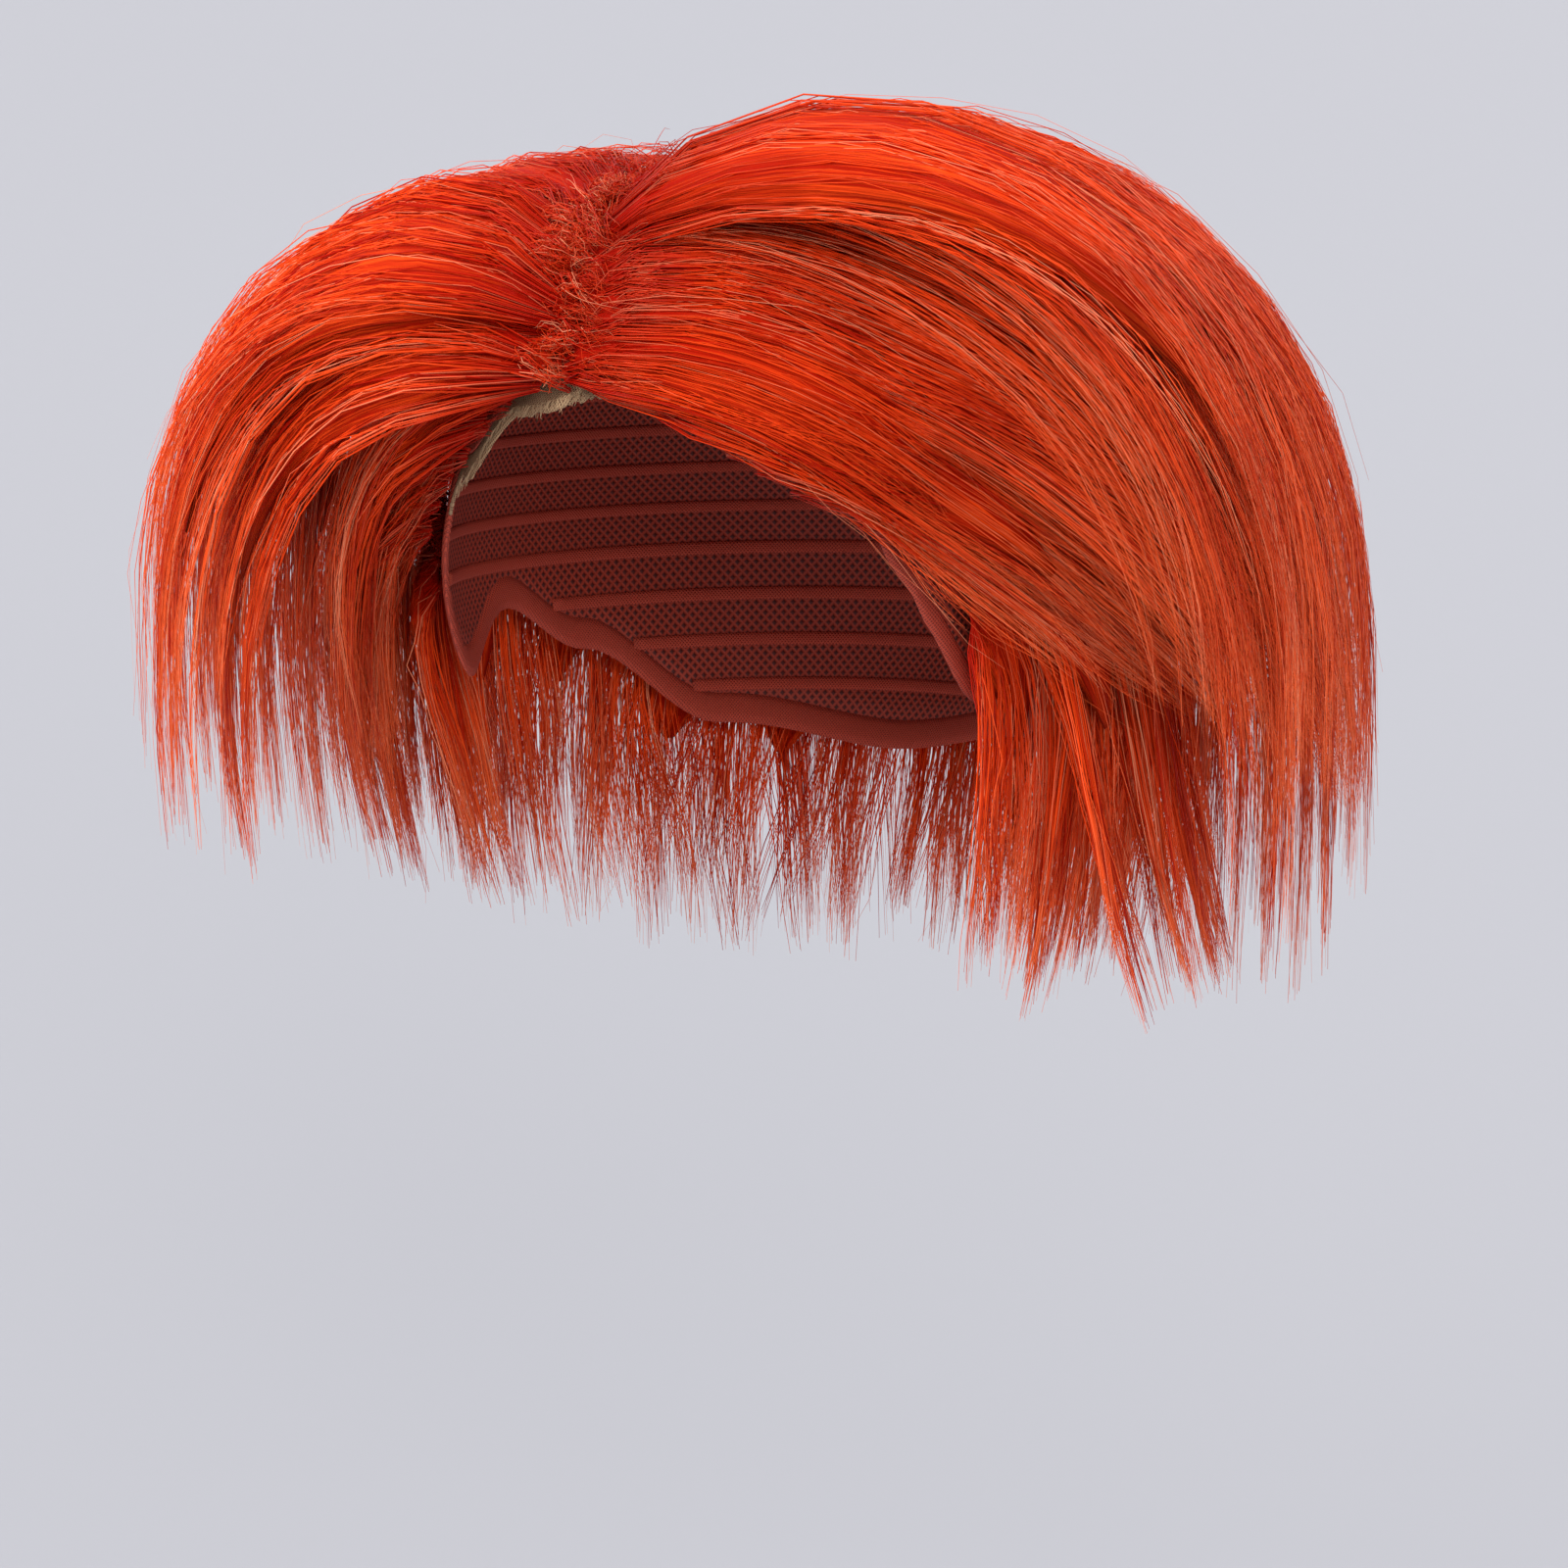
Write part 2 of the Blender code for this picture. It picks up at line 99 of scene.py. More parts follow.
@dataclass(frozen=True)
class Head:
    """The head that the wig fits, as two half ellipsoids over each other.

    Attributes:
        half_width: Half of its width.
        half_depth: Half of its depth.
        upper: Height of the upper half.
        lower: Height of the lower half.
        neck_tilt: Tilt in degrees at which the neck goes straight down.
    """

    half_width: float = 0.076
    half_depth: float = 0.095
    upper: float = 0.095
    lower: float = 0.110
    neck_tilt: float = 135

    def point(self, azimuth: float, tilt: float, out: float) -> Vector:
        """Gives a point over the head.

        Args:
            azimuth: Degrees from the front towards the wearer's left.
            tilt: Degrees from the crown.
            out: Distance from the head.

        Returns:
            The point.
        """
        a = radians(azimuth)
        t = radians(tilt)
        tall = (self.upper if tilt < 90 else self.lower) + out
        wide = self.half_width + out
        deep = self.half_depth + out
        return Vector((wide * sin(t) * sin(a), -deep * sin(t) * cos(a), tall * cos(t) - self.upper))

    def normal(self, point: Vector) -> Vector:
        """Gives the outward direction of the head under a point.

        Args:
            point: A point on or near the head.

        Returns:
            A unit direction.
        """
        above = point.z + self.upper
        tall = self.upper if above > 0 else self.lower
        slope = Vector((point.x / self.half_width**2, point.y / self.half_depth**2, above / tall**2))
        return slope.normalized()

    def kept_out(self, point: Vector, out: float) -> Vector:
        """Moves a point out of the head and neck.

        Args:
            point: The point.
            out: The least distance from the head.

        Returns:
            The point where it may be.
        """
        wide = self.half_width + out
        deep = self.half_depth + out
        above = point.z + self.upper
        if above > 0:
            size = sqrt((point.x / wide) ** 2 + (point.y / deep) ** 2 + (above / (self.upper + out)) ** 2)
            if size >= 1:
                return point
            return Vector((point.x / size, point.y / size, above / size - self.upper))
        down = max(above / (self.lower + out), cos(radians(self.neck_tilt)))
        narrow = sqrt(1 - down * down)
        size = hypot(point.x / (wide * narrow), point.y / (deep * narrow))
        if size >= 1 or size == 0:
            return point
        return Vector((point.x / size, point.y / size, point.z))


@dataclass(frozen=True)
class Cap:
    """Sizes of the cap and its lace, and the lines that the hair follows on it.

    Attributes:
        wall: Thickness of the net.
        lace_wall: Thickness of the lace.
        lace_band: Width of the lace, in degrees of tilt.
        lace_azimuth: How far the lace runs round to each side, in degrees.
        gap: Gap between pieces.
        rim: Azimuth from the front and tilt of the rim.
        parting: Tilt and azimuth of the parting, from the hairline to the crown.
    """

    wall: float = 0.0018
    lace_wall: float = 0.0010
    lace_band: float = 7
    lace_azimuth: float = 50
    gap: float = 0.0004
    rim: tuple[Pair, ...] = (
        (0, 61),
        (25, 65),
        (42, 78),
        (55, 92),
        (74, 106),
        (92, 98),
        (112, 105),
        (140, 117),
        (180, 121),
    )
    parting: tuple[Pair, ...] = ((62, -12), (48, -18), (36, -29), (27, -46), (18, -74))

    def rim_tilt(self, azimuth: float) -> float:
        """Gives the tilt of the rim at an azimuth, in degrees from the crown."""
        return look_up(self.rim, folded(azimuth))[0]

    def parting_azimuth(self, tilt: float) -> float:
        """Gives the azimuth of the parting at a tilt, in degrees from the front."""
        return look_up(self.parting, tilt)[0]


@dataclass(frozen=True)
class Weft:
    """A row of locks.

    Attributes:
        count: Number of locks.
        root_from: Azimuth and tilt of the first root, in degrees.
        root_to: The same of the last root.
        tip_from: Azimuth, reach and drop of the first tip, the last two as shares.
        tip_to: The same of the last tip.
        rise: Share of the hair's rise, for the first and the last lock.
        throw: Share of the way to the tip at which the lock turns over.
        fall: Share of the height down to the tip from which the lock falls.
        flare: The reach it falls from, as a share of the tip's reach.
        width: Share of a lock's width.
        thick: Share of a lock's thickness.
    """

    count: int
    root_from: Pair
    root_to: Pair
    tip_from: Triple
    tip_to: Triple
    rise: Pair
    throw: float
    fall: float
    flare: float
    width: float
    thick: float


@dataclass(frozen=True)
class Hair:
    """Sizes that all hair shares.

    Attributes:
        reach: Reach of the fullest lock from the middle of the head.
        drop: Drop of the lowest lock from the crown.
        rise: How far a lock lifts off before it turns over.
        lock_width: Width of a lock.
        lock_thick: Thickness of a lock.
        backing: Thickness of what the locks are fused to.
        guide_points: Points along a guide.
        beyond: How far a guide runs on past its tip, as a share of its length.
        width_vary: Least and greatest share of its width that a lock has.
        reach_vary: The same of its reach.
        drop_vary: The same of its drop.
        turn_vary: Degrees by which its tip is turned, least and most.
        upright: Sine below which a lock points too far outwards to give its own width a direction.
        taper: Place along a lock, with the share of its width and thickness there.
    """

    reach: float = 0.162
    drop: float = 0.213
    rise: float = 0.060
    lock_width: float = 0.034
    lock_thick: float = 0.014
    backing: float = 0.007
    guide_points: int = 24
    beyond: float = 0.02
    width_vary: Pair = (0.9, 1.1)
    reach_vary: Pair = (0.97, 1.0)
    drop_vary: Pair = (0.90, 1.0)
    turn_vary: Pair = (-3, 3)
    upright: float = 0.35
    taper: tuple[Triple, ...] = (
        (0.0, 0.28, 0.40),
        (0.1, 0.70, 0.72),
        (0.3, 0.92, 1.00),
        (0.7, 1.00, 0.90),
        (1.0, 0.74, 0.62),
    )


HEAD = Head()
CAP = Cap()
HAIR = Hair()
ORDER = (
    "parting_hair",
    "left_sweep",
    "right_curtain",
    "crown_hair",
    "back_hair",
    "left_side_hair",
    "right_side_hair",
    "nape_hair",
)
WEFTS: Mapping[str, tuple[Weft, ...]] = {
    "parting_hair": (
        Weft(6, (-13, 59), (-58, 24), (-24, 0.46, 0.16), (-48, 0.28, 0.00),
             (0.12, 0.08), 0.15, 0.60, 1.00, 0.24, 0.38),
    ),
    "right_curtain": (
        Weft(6, (-19, 50), (-62, 25), (-58, 0.94, 0.78), (-120, 0.95, 0.82),
             (0.70, 0.36), 0.28, 0.96, 1.09, 1.20, 1.00),
        Weft(5, (-17, 58), (-40, 40), (-58, 0.82, 0.80), (-114, 0.86, 0.88),
             (0.52, 0.60), 0.25, 0.92, 1.12, 1.15, 1.10),
        Weft(4, (-20, 59), (-52, 78), (-64, 0.62, 0.78), (-92, 0.64, 0.92),
             (0.42, 0.36), 0.20, 0.75, 1.20, 1.05, 0.85),
    ),
    "left_sweep": (
        Weft(4, (-4, 57), (40, 72), (64, 0.60, 0.51), (98, 0.80, 0.66),
             (0.12, 0.12), 0.30, 0.35, 0.90, 0.95, 0.75),
        Weft(4, (-10, 57), (-14, 48), (76, 0.76, 0.58), (100, 0.92, 0.70),
             (0.28, 0.56), 0.30, 0.48, 0.95, 1.05, 1.00),
        Weft(4, (-16, 48), (-22, 38), (84, 0.90, 0.66), (108, 0.97, 0.78),
             (0.36, 0.50), 0.32, 0.72, 1.00, 1.15, 0.95),
    ),
    "crown_hair": (
        Weft(6, (-26, 35), (-66, 17), (80, 0.97, 0.72), (158, 0.93, 0.92),
             (0.96, 0.20), 0.42, 1.22, 1.08, 1.35, 1.10),
        Weft(4, (40, 28), (130, 26), (92, 0.88, 0.92), (140, 0.86, 1.00),
             (0.60, 0.50), 0.30, 1.00, 1.06, 1.20, 1.00),
        Weft(5, (-92, 12), (-170, 14), (-118, 0.92, 0.84), (-182, 0.86, 0.90),
             (0.00, 0.15), 0.30, 0.92, 1.05, 1.35, 0.70),
    ),
    "back_hair": (
        Weft(6, (112, 42), (246, 42), (122, 0.80, 0.97), (242, 0.82, 0.90),
             (0.45, 0.45), 0.30, 0.85, 1.08, 1.20, 1.00),
        Weft(5, (118, 66), (240, 66), (130, 0.70, 1.00), (236, 0.72, 0.95),
             (0.35, 0.35), 0.30, 0.75, 1.08, 1.15, 0.90),
    ),
    "left_side_hair": (
        Weft(4, (68, 92), (122, 94), (84, 0.44, 0.99), (122, 0.56, 1.00),
             (0.22, 0.22), 0.30, 0.60, 1.15, 0.90, 0.70),
        Weft(3, (80, 88), (118, 88), (90, 0.70, 0.98), (116, 0.76, 1.02),
             (0.20, 0.20), 0.20, 0.60, 0.84, 1.15, 0.75),
    ),
    "nape_hair": (
        Weft(5, (137, 105), (223, 105), (137, 0.48, 1.01), (223, 0.48, 0.98),
             (0.20, 0.20), 0.30, 0.60, 1.10, 1.10, 0.78),
        Weft(4, (142, 86), (218, 86), (142, 0.61, 1.00), (218, 0.61, 0.97),
             (0.30, 0.30), 0.30, 0.70, 1.10, 1.20, 0.80),
    ),
    "right_side_hair": (
        Weft(3, (240, 92), (288, 92), (240, 0.54, 0.94), (276, 0.48, 0.88),
             (0.22, 0.22), 0.30, 0.60, 1.15, 1.00, 0.70),
        Weft(3, (244, 84), (284, 84), (244, 0.66, 0.90), (272, 0.62, 0.88),
             (0.35, 0.35), 0.30, 0.70, 1.10, 1.05, 0.80),
    ),
}

# Thin locks of loose fibre that lie over and between the solid ones
WISPS: Mapping[str, tuple[Weft, ...]] = {
    "crown_hair": (
        Weft(6, (-22, 42), (-30, 32), (70, 0.86, 0.66), (92, 0.97, 0.74),
             (0.62, 0.86), 0.34, 0.92, 1.04, 0.42, 0.40),
        Weft(5, (-30, 33), (-64, 18), (84, 1.00, 0.70), (120, 0.98, 0.84),
             (1.00, 0.44), 0.44, 1.20, 1.07, 0.34, 0.34),
        Weft(5, (-25, 36), (-31, 30), (70, 0.92, 0.70), (96, 0.99, 0.80),
             (0.72, 0.94), 0.36, 1.02, 1.06, 0.22, 0.24),
        Weft(5, (-70, 16), (-170, 10), (-110, 0.98, 0.84), (-176, 0.92, 0.90),
             (0.30, 0.36), 0.30, 1.02, 1.06, 0.45, 0.40),
    ),
    "left_sweep": (
        Weft(7, (2, 57), (34, 69), (58, 0.54, 0.40), (92, 0.82, 0.66),
             (0.10, 0.14), 0.28, 0.30, 0.92, 0.28, 0.26),
        Weft(6, (-12, 52), (-20, 42), (80, 0.88, 0.64), (104, 1.00, 0.78),
             (0.36, 0.62), 0.32, 0.62, 1.00, 0.36, 0.36),
        Weft(9, (2, 59), (46, 80), (60, 0.58, 0.44), (92, 0.76, 0.62),
             (0.06, 0.06), 0.28, 0.35, 0.92, 0.32, 0.20),
    ),
    "right_curtain": (
        Weft(7, (-18, 52), (-58, 28), (-54, 0.97, 0.70), (-118, 0.99, 0.80),
             (0.84, 0.62), 0.28, 0.98, 1.10, 0.34, 0.34),
        Weft(5, (-22, 60), (-46, 74), (-54, 0.66, 0.70), (-84, 0.70, 0.92),
             (0.34, 0.36), 0.20, 0.78, 1.16, 0.40, 0.36),
        Weft(7, (-19, 60), (-49, 84), (-62, 0.60, 0.72), (-84, 0.62, 0.90),
             (0.10, 0.12), 0.20, 0.75, 1.15, 0.32, 0.20),
    ),
    "back_hair": (
        Weft(7, (116, 48), (242, 46), (126, 0.84, 0.96), (238, 0.86, 0.94),
             (0.52, 0.52), 0.30, 0.90, 1.08, 0.45, 0.40),
    ),
    "left_side_hair": (
        Weft(5, (72, 94), (112, 94), (80, 0.46, 0.96), (112, 0.64, 1.00),
             (0.20, 0.20), 0.30, 0.56, 1.10, 0.38, 0.34),
    ),
    "nape_hair": (
        Weft(6, (134, 108), (226, 108), (132, 0.44, 1.00), (228, 0.44, 0.97),
             (0.16, 0.16), 0.30, 0.56, 1.06, 0.45, 0.36),
    ),
    "right_side_hair": (
        Weft(4, (238, 90), (290, 90), (238, 0.50, 0.90), (280, 0.50, 0.86),
             (0.22, 0.22), 0.30, 0.60, 1.12, 0.40, 0.34),
    ),
}


@dataclass
class Guide:
    """The middle line of one lock, with its frame and its section at each point.

    Attributes:
        points: Points from root to tip.
        across: Direction of the lock's width at each point.
        outward: Direction of the lock's thickness at each point.
        half_width: Half width at each point.
        half_thick: Half thickness at each point.
    """

    points: list[Vector]
    across: list[Vector]
    outward: list[Vector]
    half_width: list[float]
    half_thick: list[float]


class GuideMaker:
    """Turns the wefts of one piece of hair into guides."""

    def __init__(self, piece: str) -> None:
        """Starts on a piece of hair, by its name."""
        self.piece = piece
        self.vary = random.Random(SEED + ORDER.index(piece))

    def make(self, wefts: Sequence[Weft]) -> list[Guide]:
        """Makes the guides of every lock of some wefts.

        Args:
            wefts: The wefts.

        Returns:
            The guides, in the order of the wefts.
        """
        guides = []
        for weft in wefts:
            for i in range(weft.count):
                points = self._path(weft, i / (weft.count - 1))
                width = weft.width * HAIR.lock_width * self.vary.uniform(*HAIR.width_vary)
                guides.append(self.framed(points, width, weft.thick * HAIR.lock_thick))
        return guides

    def _path(self, weft: Weft, share: float) -> list[Vector]:
        """Bends one lock from its root over to its tip.

        Args:
            weft: The weft that it is in.
            share: Where it is in the weft.

        Returns:
            The points of the lock.
        """
        azimuth, tilt = between(weft.root_from, weft.root_to, share)
        side, reach, drop = between(weft.tip_from, weft.tip_to, share)
        reach *= HAIR.reach * self.vary.uniform(*HAIR.reach_vary)
        height = -drop * HAIR.drop * self.vary.uniform(*HAIR.drop_vary)
        turn = radians(side + self.vary.uniform(*HAIR.turn_vary))
        lift = CAP.wall + CAP.gap
        root = HEAD.point(azimuth, tilt, lift + HAIR.backing / 2)
        tip = Vector((reach * sin(turn), -reach * cos(turn), height))
        level = Vector((tip.x - root.x, tip.y - root.y, 0))
        rise = between(*weft.rise, share) * HAIR.rise
        lifted = root + HEAD.normal(root) * rise + level * weft.throw
        over = Vector((tip.x * weft.flare, tip.y * weft.flare, between(height, root.z, weft.fall)))
        points = []
        for i in range(HAIR.guide_points):
            s = i / (HAIR.guide_points - 1) * (1 + HAIR.beyond)
            r = 1 - s
            point = root * r**3 + lifted * (3 * r * r * s) + over * (3 * r * s * s) + tip * s**3
            points.append(HEAD.kept_out(point, lift + HAIR.backing) if i else point)
        return points

    @staticmethod
    def framed(points: list[Vector], width: float, thick: float) -> Guide:
        """Gives a path its directions and sections.

        Args:
            points: Points of the path.
            width: Width of the lock at its widest.
            thick: Thickness of the lock at its thickest.

        Returns:
            The guide.
        """
        last = len(points) - 1
        alongs = []
        outs = []
        for i, point in enumerate(points):
            alongs.append((points[min(i + 1, last)] - points[max(i - 1, 0)]).normalized())
            centre = Vector((0, 0, min(point.z, -HEAD.upper)))
            outs.append((point - centre).normalized())
        middle = last // 2
        first = alongs[middle].cross(outs[middle]).normalized()
        across = [first] * len(points)
        for step in (range(middle + 1, last + 1), range(middle - 1, -1, -1)):
            kept = first
            for i in step:
                found = alongs[i].cross(outs[i])
                if found.length > HAIR.upright:
                    kept = found.normalized()
                across[i] = kept
        outward = [a.cross(b).normalized() for a, b in zip(across, alongs)]
        shares = [look_up(HAIR.taper, i / last) for i in range(len(points))]
        half_width = [share[0] * width / 2 for share in shares]
        half_thick = [share[1] * thick / 2 for share in shares]
        return Guide(points, across, outward, half_width, half_thick)


Input = Union["Wire", float, int, bool, str, tuple, bpy.types.ID]


class Wire:
    """An output socket that takes part in sums, in shader and geometry trees alike."""

    def __init__(self, graph: "Graph", socket: bpy.types.NodeSocket) -> None:
        """Wraps an output socket of a graph."""
        self.graph = graph
        self.socket = socket

    @property
    def is_vector(self) -> bool:
        """Whether the socket carries a direction, place or colour."""
        return self.socket.type in ("VECTOR", "RGBA")

    def _sum(self, operation: str, *others: Input) -> "Wire":
        """Adds a scalar or vector sum of this wire and others.

        Args:
            operation: Name of the operation.
            others: The further operands.

        Returns:
            The result.
        """
        vector = self.is_vector or any(isinstance(o, Wire) and o.is_vector for o in others)
        kind = "ShaderNodeVectorMath" if vector else "ShaderNodeMath"
        inputs = dict(enumerate((self, *others)))
        return self.graph.node(kind, inputs, operation=operation).out(0)

    def __add__(self, other: Input) -> "Wire":
        """Adds something to the wire."""
        return self._sum("ADD", other)

    def __radd__(self, other: Input) -> "Wire":
        """Adds the wire to something."""
        return self._sum("ADD", other)

    def __sub__(self, other: Input) -> "Wire":
        """Takes something from the wire."""
        return self._sum("SUBTRACT", other)

    def __rsub__(self, other: Input) -> "Wire":
        """Takes the wire from something."""
        return self * -1 + other

    def __mul__(self, other: Input) -> "Wire":
        """Multiplies, with a scalar on either side of a vector.

        Args:
            other: The other operand.

        Returns:
            The product.
        """
        if self.is_vector and self.graph.is_scalar(other):
            made = self.graph.node("ShaderNodeVectorMath", {0: self, "Scale": other}, operation="SCALE")
            return made.out(0)
        if not self.is_vector and isinstance(other, Wire) and other.is_vector:
            return other * self
        return self._sum("MULTIPLY", other)

    def __rmul__(self, other: Input) -> "Wire":
        """Multiplies something by the wire."""
        return self * other

    def __truediv__(self, other: Input) -> "Wire":
        """Divides, also a vector by a scalar wire.

        Args:
            other: What it is divided by.

        Returns:
            The quotient.
        """
        if self.is_vector and isinstance(other, Wire) and not other.is_vector:
            return self * (1 / other)
        return self._sum("DIVIDE", other)

    def __rtruediv__(self, other: float) -> "Wire":
        """Divides a number by the wire."""
        return self.graph.node("ShaderNodeMath", {0: other, 1: self}, operation="DIVIDE").out(0)

    def __pow__(self, other: Input) -> "Wire":
        """Raises the wire to a power."""
        return self._sum("POWER", other)

    def floored(self) -> "Wire":
        """Rounds down."""
        return self._sum("FLOOR")

    def sine(self) -> "Wire":
        """Takes the sine of radians."""
        return self._sum("SINE")

    def cosine(self) -> "Wire":
        """Takes the cosine of radians."""
        return self._sum("COSINE")

    def least(self, other: Input) -> "Wire":
        """Takes the smaller of two."""
        return self._sum("MINIMUM", other)

    def most(self, other: Input) -> "Wire":
        """Takes the larger of two."""
        return self._sum("MAXIMUM", other)

    def length(self) -> "Wire":
        """Takes the length of a vector."""
        made = self.graph.node("ShaderNodeVectorMath", {0: self}, operation="LENGTH")
        return made.out("Value")

    def part(self, axis: str) -> "Wire":
        """Takes the X, Y or Z of a vector."""
        return self.graph.node("ShaderNodeSeparateXYZ", {0: self}).out(axis)


class Made:
    """A node that was just made."""

    def __init__(self, graph: "Graph", node: bpy.types.Node) -> None:
        """Wraps a node of a graph."""
        self.graph = graph
        self.node = node

    def out(self, key: Union[int, str]) -> Wire:
        """Gives an output by its name, or by its place among those in use."""
        return Wire(self.graph, Graph.pick(self.node.outputs, key))


class Graph:
    """Builds a node tree."""

    def __init__(self, tree: bpy.types.NodeTree) -> None:
        """Starts on a tree."""
        self.tree = tree

    @staticmethod
    def pick(sockets: Iterable[bpy.types.NodeSocket], key: Union[int, str]) -> bpy.types.NodeSocket:
        """Finds a socket among those in use.

        Args:
            sockets: A node's inputs or outputs.
            key: Its name, or its place.

        Returns:
            The socket.
        """
        used = [socket for socket in sockets if socket.enabled]
        if isinstance(key, int):
            return used[key]
        return next(socket for socket in used if socket.name == key)

    @staticmethod
    def is_scalar(value: Input) -> bool:
        """Tells whether an operand is a single number.

        Args:
            value: The operand.

        Returns:
            True for a number or a wire that carries one.
        """
        if isinstance(value, Wire):
            return not value.is_vector
        return isinstance(value, (int, float))

    def node(self, kind: str, inputs: Optional[Mapping] = None, **settings: object) -> Made:
        """Adds a node.

        Args:
            kind: Its type.
            inputs: Values or wires by input name or place.
            settings: Its own settings.

        Returns:
            The node.
        """
        made = self.tree.nodes.new(kind)
        for name, value in settings.items():
            setattr(made, name, value)
        for key, value in (inputs or {}).items():
            self.feed(self.pick(made.inputs, key), value)
        return Made(self, made)

    def feed(self, socket: bpy.types.NodeSocket, value: Input) -> None:
        """Gives an input its link or its value.

        Args:
            socket: The input.
            value: A wire, or what the input is set to.
        """
        if isinstance(value, Wire):
            self.tree.links.new(value.socket, socket)
        elif socket.type == "VECTOR" and isinstance(value, (int, float)):
            socket.default_value = (value, value, value)
        else:
            socket.default_value = value

    def mixed(self, share: Input, low: Input, high: Input) -> Wire:
        """Blends two colours by a share from low to high."""
        inputs = {"Factor": share, "A": low, "B": high}
        return self.node("ShaderNodeMix", inputs, data_type="RGBA").out("Result")

    def eased(self, value: Input, low: float, high: float) -> Wire:
        """Steps smoothly from 0 to 1 as a value goes from low to high."""
        inputs = {"Value": value, "From Min": low, "From Max": high}
        return self.node("ShaderNodeMapRange", inputs, interpolation_type="SMOOTHSTEP").out(0)

    def bumped(self, height: Wire, strength: float, distance: float) -> Wire:
        """Turns a height into a relief of a surface."""
        inputs = {"Height": height, "Strength": strength, "Distance": distance}
        return self.node("ShaderNodeBump", inputs).out(0)

    def placed(self, x: Input, y: Input, z: Input) -> Wire:
        """Puts three numbers together into a vector."""
        return self.node("ShaderNodeCombineXYZ", {0: x, 1: y, 2: z}).out(0)


@dataclass(frozen=True)
class Finish:
    """A finish that one surface shader shows.

    Attributes:
        name: Name of the material.
    """

    name: str

    def surface(self, graph: Graph) -> dict[str, Input]:
        """Gives what each socket of the shader is fed with. Each finish has its own."""
        raise NotImplementedError

    def build(self) -> bpy.types.Material:
        """Builds the material.

        Returns:
            The material.
        """
        made = bpy.data.materials.new(self.name)
        made.use_nodes = True
        graph = Graph(made.node_tree)
        shader = made.node_tree.nodes["Principled BSDF"]
        for key, value in self.surface(graph).items():
            graph.feed(shader.inputs[key], value)
        return made


class Source(Enum):
    """Where a hair finish reads its tone from."""

    FIBRE = "attributes of each fibre"
    LOCK = "streaks along a lock"


@dataclass(frozen=True)
class HairColours:
    """The reds and oranges of the hair, with a dark colour for its painted shade and a pale one for its
    painted highlights.

    Attributes:
        deep: Dark colour of the painted shade in the depth and at the root, which darker fibres also take.
        middle: Colour of most of the length.
        tip: Colour at the tip.
        glow: Colour of the palest fibres, a painted highlight.
    """

    deep: Colour = (0.42, 0.003, 0.0002, 1)
    middle: Colour = (1.0, 0.078, 0.008, 1)
    tip: Colour = (0.99, 0.150, 0.036, 1)
    glow: Colour = (0.99, 0.370, 0.195, 1)


